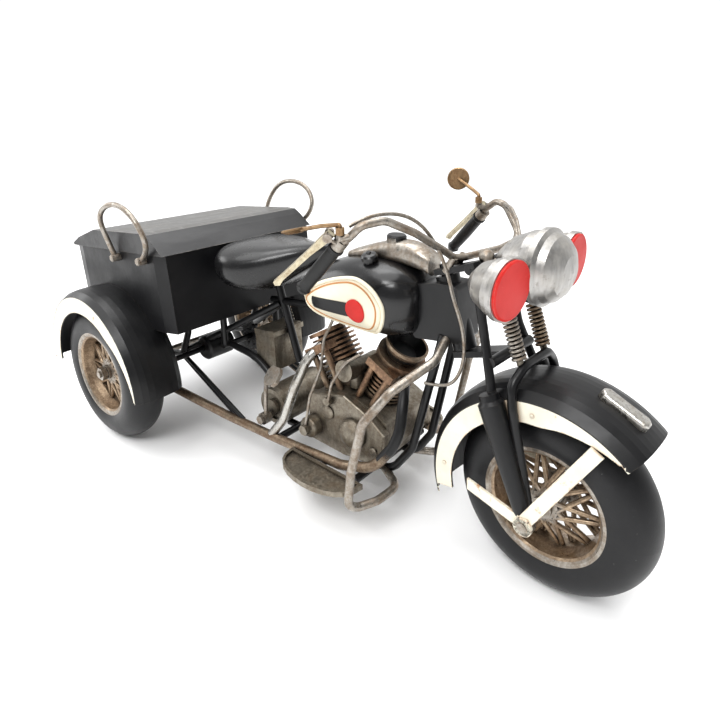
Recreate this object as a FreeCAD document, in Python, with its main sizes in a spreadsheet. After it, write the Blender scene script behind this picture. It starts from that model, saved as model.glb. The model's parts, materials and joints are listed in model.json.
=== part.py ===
"""Tin three-wheeled cargo motorcycle: a static display model whose wheels, steering, lid and levers move.

Frame: millimetres, +X forward, +Y to the rider's left, +Z up, ground at z = 0, origin under the middle.
Stations are distances ahead of the rear axle. at() turns a station into a place in the frame.
The front end is drawn straight ahead and then turned by steer_rest about the raked head axis.
"""
import FreeCAD, Part
import math
import os

import Sketcher
from FreeCAD import Matrix, Placement, Rotation, Vector

# ---------------------------------------------------------------- driving dimensions
SIZES = {
    "rear_axle_x": -143.0, "wheelbase": 298.0, "rear_track": 141.4,
    "tyre_radius": 50.0, "tyre_section": 13.5, "rim_radius": 30.6, "rim_half": 11.4, "spoke_radius": 1.25,
    "axle_radius": 2.4, "bore_play": 0.06,
    "rake": 19.0, "head_station": 237.0, "head_height": 130.0, "steer_rest": -5.0,
    "box_length": 119.0, "box_half_width": 62.6, "box_depth": 50.5, "box_wall": 1.6,
    "box_front": 67.4, "box_seam_height": 142.9, "box_tilt": 5.0, "lid_height": 13.5, "hinge_pin": 1.0,
    "rear_fender_radius": 58.3, "rear_fender_crown": 62.0, "rear_fender_inner": 54.0, "rear_fender_outer": 88.0,
    "front_fender_radius": 57.6, "front_fender_crown": 63.8, "front_fender_half": 19.5, "sheet_metal": 1.2,
    "frame_tube": 2.4, "rail_tube": 3.0, "crash_tube": 2.4, "bar_tube": 1.9, "hoop_tube": 1.7, "rod_tube": 1.4,
    "leg_tube": 2.2, "fork_half_width": 24.5, "grip_radius": 3.4, "spring_radius": 3.6, "spring_wire": 0.8,
    "crank_station": 178.0, "crank_height": 47.0, "case_half_width": 20.0,
    "barrel_radius": 9.5, "fin_radius": 13.5, "fin_pitch": 3.0, "fin_thickness": 1.3,
    "headlamp_radius": 17.0, "side_lamp_radius": 13.4, "mirror_radius": 6.6, "cable_radius": 0.9,
}

doc = FreeCAD.newDocument("cargo_three_wheeler")
sheet = doc.addObject("Spreadsheet::Sheet", "sizes")
for row, (alias, value) in enumerate(SIZES.items(), start=1):
    sheet.set("A%d" % row, alias)
    sheet.set("B%d" % row, str(value))
    sheet.setAlias("B%d" % row, alias)
doc.recompute()

NODES = {}
X_AXIS, Y_AXIS, Z_AXIS = Vector(1, 0, 0), Vector(0, 1, 0), Vector(0, 0, 1)


def size(alias):
    return float(sheet.get(alias))


def at(station, y, z):
    """Point in the frame for a station ahead of the rear axle."""
    return Vector(station + size("rear_axle_x"), y, z)


RAKE = math.radians(size("rake"))
HEAD_POINT = at(size("head_station"), 0, size("head_height"))
HEAD_AXIS = Vector(-math.sin(RAKE), 0, math.cos(RAKE))
STEER_TURN = Placement(Vector(), Rotation(HEAD_AXIS, size("steer_rest")), HEAD_POINT)
BOX_TILT = Placement(at(size("box_front"), 0, size("box_seam_height")), Rotation(Y_AXIS, -size("box_tilt")))


def keep(node, item, placement=None, steered=False):
    """Name a finished sub-part, put it in its place and list it for export."""
    item.Label = node
    place = placement or Placement()
    if steered:
        place = STEER_TURN.multiply(place)
    item.Placement = place
    NODES[node] = item
    return item


def aim(origin, direction, roll_to=None):
    """Placement that carries +Z onto a direction, and +X towards roll_to."""
    forward = Vector(direction).normalize()
    side = Vector(roll_to) if roll_to else Vector(1, 0, 0)
    if abs(side.normalize().dot(forward)) > 0.99:
        side = Vector(0, 1, 0)
    side = (side - forward * side.dot(forward)).normalize()
    return Placement(origin, Rotation(side, forward.cross(side), forward, "ZXY"))


# ---------------------------------------------------------------- sketch helpers
def new_body(name):
    return doc.addObject("PartDesign::Body", name + "_body")


def new_sketch(body, role, name):
    sketch = body.newObject("Sketcher::SketchObject", name)
    plane = next(p for p in body.Origin.OriginFeatures if p.Role == role)
    sketch.AttachmentSupport = (plane, [""])
    sketch.MapMode = "FlatFace"
    return sketch


def pin_coordinate(sketch, kind, index, value):
    """Hold one coordinate of a corner: a number, or an expression that reads the sheet."""
    if value == 0:
        sketch.addConstraint(Sketcher.Constraint("PointOnObject", index, 1, -2 if kind == "DistanceX" else -1))
        return
    start = value if not isinstance(value, str) else evaluate(value)
    number = sketch.addConstraint(Sketcher.Constraint(kind, -1, 1, index, 1, start))
    if isinstance(value, str):
        sketch.setExpression("Constraints[%d]" % number, value)


def evaluate(expression):
    """Value of an expression such as 'sizes.rake + 2'."""
    words = expression.replace("(", " ( ").replace(")", " ) ").split()
    sheet.set("D1", "=" + " ".join(w.replace("sizes.", "") for w in words))
    sheet.recompute()
    return float(sheet.get("D1"))


def outline(sketch, points):
    """Closed polygon with every corner dimensioned."""
    spots = [Vector(*[evaluate(v) if isinstance(v, str) else v for v in p], 0) for p in points]
    count = len(spots)
    for i in range(count):
        sketch.addGeometry(Part.LineSegment(spots[i], spots[(i + 1) % count]), False)
    for i in range(count):
        sketch.addConstraint(Sketcher.Constraint("Coincident", i, 2, (i + 1) % count, 1))
    for i, (x_value, y_value) in enumerate(points):
        pin_coordinate(sketch, "DistanceX", i, x_value)
        pin_coordinate(sketch, "DistanceY", i, y_value)


def turned(name, profile, angle=None):
    """Body of revolution about Z from a profile of (radius, height) corners."""
    body = new_body(name)
    sketch = new_sketch(body, "XZ_Plane", name + "_profile")
    outline(sketch, profile)
    turn = body.newObject("PartDesign::Revolution", name + "_turn")
    turn.Profile = (sketch, [""])
    turn.ReferenceAxis = (sketch, ["V_Axis"])
    turn.Angle = angle or 360
    doc.recompute()
    return body


def padded(name, points, length, role="XZ_Plane", midplane=True, reversed_=False):
    """Body padded from a polygon. length is a number or a sheet expression."""
    body = new_body(name)
    sketch = new_sketch(body, role, name + "_outline")
    outline(sketch, points)
    pad = body.newObject("PartDesign::Pad", name + "_pad")
    pad.Profile = (sketch, [""])
    if isinstance(length, str):
        pad.setExpression("Length", length)
    else:
        pad.Length = length
    pad.Midplane = midplane
    pad.Reversed = reversed_
    doc.recompute()
    return body


def round_edges(body, name, radius, picked):
    """Fillet the edges of the body's tip that a test picks."""
    tip = body.Tip
    names = ["Edge%d" % (i + 1) for i, e in enumerate(tip.Shape.Edges) if picked(e)]
    fillet = body.newObject("PartDesign::Fillet", name + "_round")
    fillet.Base = (tip, names)
    fillet.Radius = radius
    doc.recompute()
    return body


def along(edge, axis):
    """True for a straight edge parallel to an axis."""
    if edge.Curve.TypeId != "Part::GeomLine":
        return False
    return abs(edge.Curve.Direction.dot(axis)) > 0.999


# ---------------------------------------------------------------- tube helpers
def bend_path(points, radius):
    """Wire of straight runs joined by tangent arcs at the inner corners."""
    edges = []
    start = Vector(points[0])
    for i in range(1, len(points) - 1):
        corner = Vector(points[i])
        back = (Vector(points[i - 1]) - corner)
        ahead = (Vector(points[i + 1]) - corner)
        back_run, ahead_run = back.Length, ahead.Length
        back.normalize()
        ahead.normalize()
        turn = math.pi - math.acos(max(-1, min(1, back.dot(ahead))))
        if turn < 0.02:
            continue
        reach = min(radius * math.tan(turn / 2), 0.46 * back_run, 0.46 * ahead_run)
        bend = reach / math.tan(turn / 2)
        first = corner + back * reach
        last = corner + ahead * reach
        inward = (back + ahead).normalize()
        middle = corner + inward * (bend / math.cos(turn / 2) - bend)
        edges.append(Part.LineSegment(start, first).toShape())
        edges.append(Part.Arc(first, middle, last).toShape())
        start = last
    edges.append(Part.LineSegment(start, Vector(points[-1])).toShape())
    return Part.Wire(edges)


def tube(name, points, radius_alias, bend=10.0):
    """Round bar swept along a bent path. Its radius follows the sheet."""
    wire = bend_path(points, bend)
    path = doc.addObject("Part::Feature", name + "_path")
    path.Shape = wire
    ring = doc.addObject("Part::Circle", name + "_section")
    ring.setExpression("Radius", "sizes." + radius_alias)
    ring.Placement = aim(Vector(points[0]), Vector(points[1]) - Vector(points[0]))
    sweep = doc.addObject("Part::Sweep", name + "_sweep")
    sweep.Sections = [ring]
    sweep.Spine = (path, ["Edge%d" % (i + 1) for i in range(len(wire.Edges))])
    sweep.Solid = True
    sweep.Frenet = False
    return sweep


def joined(name, parts):
    fuse = doc.addObject("Part::MultiFuse", name + "_fuse")
    fuse.Shapes = parts
    fuse.Refine = True
    return fuse


def rod(name, start, end, radius_expression):
    """Straight round bar between two points."""
    cylinder = doc.addObject("Part::Cylinder", name)
    cylinder.setExpression("Radius", radius_expression)
    cylinder.Height = (end - start).Length
    cylinder.Placement = aim(start, end - start)
    return cylinder


def hexagon(name, centre, direction, across, height):
    """Hexagonal head or nut: across is its width across flats."""
    prism = doc.addObject("Part::Prism", name)
    prism.Polygon = 6
    prism.Circumradius = across / math.sqrt(3)
    prism.Height = height
    prism.Placement = aim(centre, direction)
    return prism


def shaped(name, shape):
    item = doc.addObject("Part::Feature", name + "_shape")
    item.Shape = shape
    return item


def flip(points):
    """The same points on the other side of the centre plane."""
    return [Vector(p.x, -p.y, p.z) for p in points]


SIDES = (("right", -1), ("left", 1))


# ---------------------------------------------------------------- wheels
def tyre(node, centre, steered):
    """Fat round tyre seated on the rim's outside."""
    body = new_body(node)
    sketch = new_sketch(body, "XY_Plane", node + "_section")
    middle = size("tyre_radius") - size("tyre_section")
    seat = size("rim_radius") - 1.2
    reach = math.sqrt(size("tyre_section") ** 2 - (middle - seat) ** 2)
    low, high = Vector(seat, -reach, 0), Vector(seat, reach, 0)
    sketch.addGeometry(Part.Arc(low, Vector(size("tyre_radius"), 0, 0), high), False)
    sketch.addGeometry(Part.LineSegment(high, low), False)
    sketch.addConstraint(Sketcher.Constraint("Coincident", 0, 2, 1, 1))
    sketch.addConstraint(Sketcher.Constraint("Coincident", 0, 1, 1, 2))
    sketch.addConstraint(Sketcher.Constraint("PointOnObject", 0, 3, -1))
    radius = sketch.addConstraint(Sketcher.Constraint("Radius", 0, size("tyre_section")))
    sketch.setExpression("Constraints[%d]" % radius, "sizes.tyre_section")
    offset = sketch.addConstraint(Sketcher.Constraint("DistanceX", -1, 1, 0, 3, middle))
    sketch.setExpression("Constraints[%d]" % offset, "sizes.tyre_radius - sizes.tyre_section")
    turn = body.newObject("PartDesign::Revolution", node + "_turn")
    turn.Profile = (sketch, [""])
    turn.ReferenceAxis = (sketch, ["V_Axis"])
    turn.Angle = 360
    keep(node, body, Placement(centre, Rotation()), steered)


def wheel(node, centre, hub_half, steered):
    """Drop-centre rim, laced spokes and a bored hub, all one soldered piece."""
    rim = size("rim_radius")
    half = size("rim_half")
    bore = size("axle_radius") + size("bore_play")
    rim_section = [(rim - 1.2, -9.6), (rim + 0.6, -half), (rim + 0.6, -half - 0.8), (rim - 1.4, -half - 0.8),
                   (rim - 3.6, -half + 1.2), (rim - 4.2, -half + 4), (rim - 5.6, -3), (rim - 5.6, 3),
                   (rim - 4.2, half - 4), (rim - 3.6, half - 1.2), (rim - 1.4, half + 0.8),
                   (rim + 0.6, half + 0.8), (rim + 0.6, half), (rim - 1.2, 9.6)]
    hub_section = [(bore, -hub_half), (5.2, -hub_half), (5.2, -hub_half + 2), (7.4, -hub_half + 2.4),
                   (7.4, -hub_half + 4), (4.4, -hub_half + 5.4), (4.4, hub_half - 5.4), (7.4, hub_half - 4),
                   (7.4, hub_half - 2.4), (5.2, hub_half - 2), (5.2, hub_half), (bore, hub_half)]
    solids = []
    for section in (rim_section, hub_section):
        ring = Part.makePolygon([Vector(r, y, 0) for r, y in section + section[:1]])
        solids.append(Part.Face(ring).revolve(Vector(), Y_AXIS, 360))
    flange = hub_half - 3.2
    lace = math.radians(34)
    pairs = 10
    for i in range(pairs):
        for side in (-1, 1):
            hub_angle = 2 * math.pi * (i + (0.25 if side > 0 else 0)) / pairs
            for lean in (-1, 1):
                rim_angle = hub_angle + lean * lace
                foot = Vector(6.6 * math.cos(hub_angle), side * flange, 6.6 * math.sin(hub_angle))
                tip_radius = rim - 4.9
                tip = Vector(tip_radius * math.cos(rim_angle), side * 2.2, tip_radius * math.sin(rim_angle))
                run = tip - foot
                solids.append(Part.makeCylinder(size("spoke_radius"), run.Length, foot, run))
    wheel_shape = solids[0].multiFuse(solids[1:])
    keep(node, shaped(node, wheel_shape), Placement(centre, Rotation()), steered)


REAR_Y = size("rear_track") / 2
AXLE_HEIGHT = size("tyre_radius")
TURN = math.radians(size("steer_rest"))
TRAIL = Vector(size("wheelbase") - size("head_station"), 0, AXLE_HEIGHT - size("head_height")).cross(HEAD_AXIS).Length
LEAN_GAIN = (size("tyre_radius") - size("tyre_section")) * (1 - math.cos(math.asin(math.sin(TURN) * math.sin(RAKE))))
FRONT_DROP = TRAIL * (1 - math.cos(TURN)) * math.sin(RAKE) - LEAN_GAIN
FRONT_CENTRE = at(size("wheelbase"), 0, AXLE_HEIGHT + FRONT_DROP)
tyre("front_tyre", FRONT_CENTRE, True)
wheel("front_wheel_rim", FRONT_CENTRE, 13.0, True)
for side_name, sign in SIDES:
    tyre("rear_tyre_" + side_name, at(0, sign * REAR_Y, AXLE_HEIGHT), False)
    wheel("rear_wheel_rim_" + side_name, at(0, sign * REAR_Y, AXLE_HEIGHT), 7.4, False)


# ---------------------------------------------------------------- axles
def axle(node, centre, half_length, nut_at, steered):
    """Round axle with a hexagonal nut and a domed end on each side."""
    pieces = [rod(node + "_bar", Vector(0, -half_length, 0), Vector(0, half_length, 0), "sizes.axle_radius")]
    for side_name, sign in SIDES:
        pieces.append(hexagon(node + "_nut_" + side_name, Vector(0, sign * nut_at, 0), Vector(0, sign, 0), 8.4, 3.6))
    keep(node, joined(node, pieces), Placement(centre, Rotation()), steered)


axle("front_axle", FRONT_CENTRE, 31.0, 26.8, True)
axle("rear_axle", at(0, 0, AXLE_HEIGHT), 83.5, REAR_Y + 7.8, False)

# ---------------------------------------------------------------- frame
backbone = [
    tube("backbone", [at(94, 0, 105.5), at(140, 0, 111), at(228, 0, 121)], "frame_tube", 40),
    rod("seat_tube", at(99.5, 0, 122), at(118.5, 0, 66), "sizes.frame_tube + 0.2"),
]
for side_name, sign in SIDES:
    backbone.append(tube("upper_rail_" + side_name,
                         [at(24, sign * 30, 56), at(62, sign * 16, 80), at(103, sign * 1.2, 105)], "frame_tube", 60))
keep("frame_backbone", joined("backbone_set", backbone))

cradle = []
for side_name, sign in SIDES:
    cradle.append(tube("down_tube_" + side_name,
                       [at(234, sign * 7, 119), at(219, sign * 10, 46), at(206, sign * 12, 26.5),
                        at(120, sign * 13, 26.5)], "frame_tube", 14))
for station in (130, 196):
    cradle.append(rod("cradle_cross_%d" % station, at(station, -34, 27), at(station, 34, 27), "sizes.frame_tube"))
keep("frame_cradle", joined("cradle_set", cradle))

neck = padded("steering_neck", [(-21, -17), (9, -13), (4, 16.5), (-8, 16), (-21, 13)], 17)
round_edges(neck, "steering_neck", 2.5, lambda e: along(e, Y_AXIS))
neck_bore = rod("neck_bore", HEAD_POINT - HEAD_AXIS * 40, HEAD_POINT + HEAD_AXIS * 40, "sizes.leg_tube + 0.86")
neck_tube = rod("neck_tube", HEAD_POINT - HEAD_AXIS * 19, HEAD_POINT + HEAD_AXIS * 20, "sizes.leg_tube + 4")
neck.Placement = Placement(HEAD_POINT, Rotation())
neck_solid = joined("neck_solid", [neck, neck_tube])
neck_cut = doc.addObject("Part::Cut", "neck_cut")
neck_cut.Base = neck_solid
neck_cut.Tool = neck_bore
keep("steering_neck", neck_cut)

for side_name, sign in SIDES:
    bracket = [
        rod("stay_a_" + side_name, at(27, sign * 32, 57), at(100, sign * 36, 31), "sizes.rod_tube"),
        rod("stay_b_" + side_name, at(24, sign * 30, 53), at(90, sign * 35, 30), "sizes.rod_tube"),
        tube("hanger_" + side_name, [at(34, sign * 31, 90.5), at(36, sign * 31, 76), at(26, sign * 31, 56),
                                     at(0, sign * 31, 50)], "frame_tube", 9),
    ]
    keep("rear_stay_" + side_name, joined("rear_stay_set_" + side_name, bracket))

# Lower rails sweep from the rear axle under the engine. The right one is the front cylinder's exhaust.
RAIL_ROUTE = [at(0, -50, 50), at(36, -46, 36), at(84, -38, 29), at(134, -35, 29), at(186, -34, 33),
              at(209, -33, 41), at(223, -29, 62), at(219, -20, 80)]
keep("lower_rail_right", tube("lower_rail_right", RAIL_ROUTE + [at(212, -9, 86)], "rail_tube", 22))
keep("lower_rail_left", tube("lower_rail_left", flip(RAIL_ROUTE[:5]) + [at(212, 30, 36), at(219, 10, 50)],
                             "rail_tube", 22))
keep("rear_exhaust", tube("rear_exhaust", [at(152, -12, 92), at(147, -21, 84), at(142, -27, 66), at(134, -30, 42),
                                           at(127, -35, 30)], "rail_tube", 18))

# ---------------------------------------------------------------- crash bars and footboards
for side_name, sign in SIDES:
    route = [at(236, sign * 6.5, 117.5), at(239, sign * 22, 111), at(228, sign * 44, 99), at(218, sign * 53, 82),
             at(212, sign * 55, 52), at(208, sign * 53.5, 25), at(216, sign * 38, 26), at(217, sign * 21, 26),
             at(201, sign * 12.4, 26.5)]
    keep("crash_bar_" + side_name, tube("crash_bar_" + side_name, route, "crash_tube", 9))

BOARD = {"rear": 150.0, "front": 206.0, "inner": 38.5, "outer": 58.5, "top": 32.0, "thick": 3.2}


def board_outline(inset):
    """Half-moon plan of a footboard, with its straight side inboard."""
    middle = (BOARD["rear"] + BOARD["front"]) / 2
    half = (BOARD["front"] - BOARD["rear"]) / 2 - inset
    depth = BOARD["outer"] - BOARD["inner"] - 2 * inset
    curve = [(middle + half * math.cos(math.radians(a)),
              BOARD["inner"] + inset + depth * math.sin(math.radians(a)) ** 0.75) for a in range(0, 181, 15)]
    return [(station + size("rear_axle_x"), y) for station, y in curve]


for side_name, sign in SIDES:
    name = "footboard_" + side_name
    body = padded(name, [(x, sign * y) for x, y in board_outline(0)], BOARD["thick"], "XY_Plane", False)
    tray = new_sketch(body, "XY_Plane", name + "_tray")
    outline(tray, [(x, sign * y) for x, y in board_outline(2.0)])
    tray.AttachmentOffset = Placement(Vector(0, 0, BOARD["thick"]), Rotation())
    pocket = body.newObject("PartDesign::Pocket", name + "_pocket")
    pocket.Profile = (tray, [""])
    pocket.Length = 1.8
    doc.recompute()
    body.Placement = Placement(Vector(0, 0, BOARD["top"] - BOARD["thick"]), Rotation())
    arm = tube(name + "_arm", [at(176, sign * 51, 28.2), at(176, sign * 42, 27.0), at(174, sign * 34, 31)],
               "rod_tube", 6)
    bolt = hexagon(name + "_bolt", at(178, sign * 49, 25.2), Z_AXIS, 5.0, 4.4)
    keep(name, joined(name + "_set", [body, arm, bolt]))

# ---------------------------------------------------------------- engine
CRANK = at(size("crank_station"), 0, size("crank_height"))
case = padded("crankcase", [(-31, -15), (24, -15), (31, -2), (30, 14), (18, 20), (4, 24), (-14, 22), (-29, 14)],
              "2 * sizes.case_half_width")
round_edges(case, "crankcase", 2.5, lambda e: along(e, Y_AXIS))
case.Placement = Placement(CRANK, Rotation())

cover = padded("timing_cover", [(-26, 18), (2, 25), (20, 18), (32, 10), (31, -4), (25, -12), (2, -15), (-28, -14)],
               5.0, "XZ_Plane", False)
cover_face = cover.Shape.BoundBox.YMin if abs(cover.Shape.BoundBox.YMin) > 1 else cover.Shape.BoundBox.YMax
round_edges(cover, "timing_cover", 1.4,
            lambda e: abs(e.BoundBox.YMin - cover_face) < 0.01 and abs(e.BoundBox.YMax - cover_face) < 0.01)
COVER_Y = -(size("case_half_width") + 5.0)
cover.Placement = Placement(Vector(CRANK.x, -size("case_half_width") if cover_face < 0 else COVER_Y, CRANK.z),
                            Rotation())
OUT = Vector(0, -1, 0)


def boss(name, station, z, radius, depth, dome):
    """Round boss on the timing side with a domed face."""
    profile = [(0, -3), (radius, -3), (radius, depth - dome)]
    steps = 4
    for i in range(1, steps):
        angle = math.pi / 2 * i / steps
        profile.append((radius * math.cos(angle), depth - dome + dome * math.sin(angle)))
    profile.append((0, depth))
    body = turned(name, profile)
    body.Placement = aim(at(station, COVER_Y, z), OUT)
    return body


cover_parts = [cover,
               boss("cam_dome", 188, 51, 9.0, 7.0, 5.0), boss("pump_boss", 157, 45, 6.6, 8.0, 2.0),
               boss("breather_pad", 168, 57, 4.6, 1.6, 0.8), boss("bolt_seat", 203, 45, 2.4, 1.4, 0.4),
               hexagon("pump_nut", at(157, COVER_Y - 7.5, 45), OUT, 6.0, 3.6),
               hexagon("line_nut", at(170, COVER_Y + 0.8, 66), OUT, 4.6, 4.6)]
keep("timing_cover", joined("timing_cover_set", cover_parts))

primary = padded("primary_cover", [(-70, -12), (-60, -20), (20, -17), (30, -6), (28, 12), (16, 18), (-60, 8),
                                   (-70, 2)], 6.0, "XZ_Plane", True)
round_edges(primary, "primary_cover", 2.0, lambda e: along(e, Y_AXIS))
primary.Placement = Placement(CRANK + Vector(0, size("case_half_width") + 2.7, 0), Rotation())
keep("crankcase", joined("crankcase_set", [case, primary]))


def lean_direction(lean):
    """Unit vector that leans forward from upright by some degrees."""
    return Vector(math.sin(math.radians(lean)), 0, math.cos(math.radians(lean)))


def finned_barrel(node, lean, reach):
    """Cylinder with cooling fins, leaning lean degrees forward from upright about the crank."""
    root_radius, fin = size("barrel_radius"), size("fin_radius")
    pitch, thickness = size("fin_pitch"), size("fin_thickness")
    start = 25.0
    profile = [(0, start - 3), (root_radius + 2.5, start - 3), (root_radius + 2.5, start + 1), (root_radius, start + 1)]
    level = start + 2.6
    while level + thickness < reach - 4:
        profile += [(root_radius, level), (fin, level), (fin, level + thickness), (root_radius, level + thickness)]
        level += pitch
    profile += [(root_radius, level), (fin + 0.8, level), (fin + 0.8, reach), (0, reach)]
    body = turned(node, profile)
    body.Placement = aim(CRANK, lean_direction(lean))
    return body


def along_barrel(lean, distance, sideways, across=0.0):
    """Point beside a leaning barrel: distance up its axis, sideways in Y, across in its own plane."""
    angle = math.radians(lean)
    return CRANK + Vector(math.sin(angle) * distance + math.cos(angle) * across, sideways,
                          math.cos(angle) * distance - math.sin(angle) * across)


def valve_train(name, lean):
    """Two pushrod tubes with collars and the rocker cover beside a barrel."""
    stems = []
    for across in (-4.5, 5.0):
        label = "%s_%d" % (name, across > 0)
        foot = along_barrel(lean, 15, -16.4, across)
        head = along_barrel(lean, 50, -15.8, across * 1.25)
        stems.append(rod("pushrod_" + label, foot, head, "sizes.rod_tube + 0.5"))
        stems.append(rod("collar_" + label, foot, foot + (head - foot) * 0.2, "sizes.rod_tube + 1.3"))
    cover = doc.addObject("Part::Box", "rocker_" + name)
    cover.Length, cover.Width, cover.Height = 19.0, 10.0, 5.0
    cover.Placement = aim(along_barrel(lean, 48, -18.4, -9.5), lean_direction(lean), along_barrel(lean, 0, 0, 1) - CRANK)
    return stems + [cover]


REAR_LEAN, FRONT_LEAN = -31.0, 27.0
REAR_REACH, FRONT_REACH = 60.0, 56.0
rear_set = [finned_barrel("barrel_rear", REAR_LEAN, REAR_REACH)] + valve_train("rear", REAR_LEAN)
keep("cylinder_rear", joined("cylinder_rear_set", rear_set))
bowl = turned("intake_bowl", [(0, -1), (9.0, -1), (12.6, 6.5), (12.6, 8.5), (11.2, 8.5), (7.5, 2.0), (0, 2.0)])
bowl.Placement = aim(along_barrel(FRONT_LEAN, FRONT_REACH, 0), lean_direction(FRONT_LEAN))
front_set = [finned_barrel("barrel_front", FRONT_LEAN, FRONT_REACH), bowl] + valve_train("front", FRONT_LEAN)
keep("cylinder_front", joined("cylinder_front_set", front_set))

carburettor = [rod("carb_body", at(178, -15, 84), at(178, 8, 84), "sizes.barrel_radius - 4.5"),
               rod("carb_trumpet", at(178, -22, 86), at(178, -14, 85), "sizes.barrel_radius - 3.2"),
               rod("carb_bowl", at(178, -10, 72), at(178, -10, 86), "sizes.barrel_radius - 5.3"),
               rod("manifold", at(166, 0, 84), at(190, 0, 84), "sizes.frame_tube")]
keep("carburettor", joined("carburettor_set", carburettor))

gearbox = turned("gearbox", [(0, -21), (11, -21), (13.2, -18), (13.2, 20), (12.2, 23.5), (9.4, 23.5), (9.0, 22),
                             (5.2, 22), (5.0, 25), (0, 25)])
gearbox.Placement = aim(at(116, 0, 41), OUT)
PEDAL = at(116, -30, 36)
pedal_pin = rod("pedal_pin", PEDAL + Vector(0, -2.2, 0), PEDAL + Vector(0, 12, 0), "2")
keep("gearbox", joined("gearbox_set", [gearbox, pedal_pin]))

battery = [(-9.5, 0), (9.5, 2), (8.5, 31), (-10.5, 28)]
box = padded("oil_tank", battery, 25.0)
round_edges(box, "oil_tank", 1.2, lambda e: along(e, Y_AXIS))
cap_band = doc.addObject("Part::Box", "oil_tank_band")
cap_band.Length, cap_band.Width, cap_band.Height = 20.4, 26.4, 3.4
cap_band.Placement = Placement(at(89.0, -13.2, 83.2), Rotation(Y_AXIS, -6))
box.Placement = Placement(at(99, 0, 58), Rotation())
keep("oil_tank", joined("oil_tank_set", [box, cap_band]))

OIL_ROUTE = [at(157, -33.5, 48), at(158, -30, 66), at(162, -24, 84), at(160, -19, 100), at(163, -14, 111.5)]
SPARK_ROUTE = [at(171, -28, 66.5), at(174, -28, 79), at(180, -23, 92), at(186, -17, 97)]
keep("engine_lines", joined("engine_lines_set", [tube("oil_line", OIL_ROUTE, "cable_radius", 12),
                                                 tube("spark_line", SPARK_ROUTE, "cable_radius", 12)]))

# ---------------------------------------------------------------- pieces under the cargo box
drum = turned("brake_drum", [(0, -11), (7.6, -11), (8.9, -9.6), (8.9, 9.6), (7.6, 11), (2.0, 11), (2.0, 34),
                             (0, 34)])
drum.Placement = aim(at(44, -14, 63), OUT)

teeth = 12
ring = []
for i in range(teeth):
    for part, radius in ((-0.27, 9.3), (-0.14, 11.4), (0.14, 11.4), (0.27, 9.3)):
        angle = 2 * math.pi * (i + part) / teeth
        ring.append((radius * math.cos(angle), radius * math.sin(angle)))
sprocket = padded("sprocket", ring, 2.4)
holes = new_sketch(sprocket, "XZ_Plane", "sprocket_hole")
holes.addGeometry(Part.Circle(Vector(6.1, 0, 0), Z_AXIS, 1.5), False)
holes.addConstraint(Sketcher.Constraint("PointOnObject", 0, 3, -1))
holes.addConstraint(Sketcher.Constraint("Radius", 0, 1.5))
holes.addConstraint(Sketcher.Constraint("DistanceX", -1, 1, 0, 3, 6.1))
cut = sprocket.newObject("PartDesign::Pocket", "sprocket_hole_cut")
cut.Profile = (holes, [""])
cut.Midplane = True
cut.Length = 6
doc.recompute()
pattern = sprocket.newObject("PartDesign::PolarPattern", "sprocket_holes")
pattern.Originals = [cut]
pattern.Axis = (holes, ["N_Axis"])
pattern.Angle = 360
pattern.Occurrences = 6
sprocket.Tip = pattern
doc.recompute()
centre_hole = new_sketch(sprocket, "XZ_Plane", "sprocket_bore")
centre_hole.addGeometry(Part.Circle(Vector(), Z_AXIS, 2.0 + size("bore_play")), False)
centre_hole.addConstraint(Sketcher.Constraint("Coincident", 0, 3, -1, 1))
bore_size = centre_hole.addConstraint(Sketcher.Constraint("Radius", 0, 2.0 + size("bore_play")))
centre_hole.setExpression("Constraints[%d]" % bore_size, "2 + sizes.bore_play")
bore_cut = sprocket.newObject("PartDesign::Pocket", "sprocket_bore_cut")
bore_cut.Profile = (centre_hole, [""])
bore_cut.Midplane = True
bore_cut.Length = 6
sprocket.Tip = bore_cut
doc.recompute()
SPROCKET = at(61, 6, 68)
keep("sprocket", sprocket, Placement(SPROCKET, Rotation()))
carrier = [drum, rod("drum_arm", at(44, -14, 63), SPROCKET + Vector(0, -20, 0), "2"),
           rod("sprocket_shaft", SPROCKET + Vector(0, -26, 0), SPROCKET + Vector(0, 26, 0), "2"),
           tube("chain_stay", [SPROCKET + Vector(0, -20, 0), at(92, -14, 66), at(112, -14, 50)], "frame_tube", 40)]
for side_name, sign in SIDES:
    foot = SPROCKET + Vector(0, sign * 24, 0)
    carrier.append(rod("shaft_hanger_" + side_name, foot, foot + Vector(0, 0, 24.6), "sizes.frame_tube"))
keep("sprocket_carrier", joined("sprocket_carrier_set", carrier))

# ---------------------------------------------------------------- cargo box and lid
length, half = size("box_length"), size("box_half_width")
depth, wall = size("box_depth"), size("box_wall")
CORNER = 11.0
SLANT = 2.2


def box_plan(inset):
    """Plan of the box: a rectangle whose four corners are slanted off."""
    run = CORNER
    step = SLANT
    return [(-inset, half - step - inset), (-run, half - inset), (-length + run, half - inset),
            (-length + inset, half - step - inset), (-length + inset, -half + step + inset),
            (-length + run, -half + inset), (-run, -half + inset), (-inset, -half + step + inset)]


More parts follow.
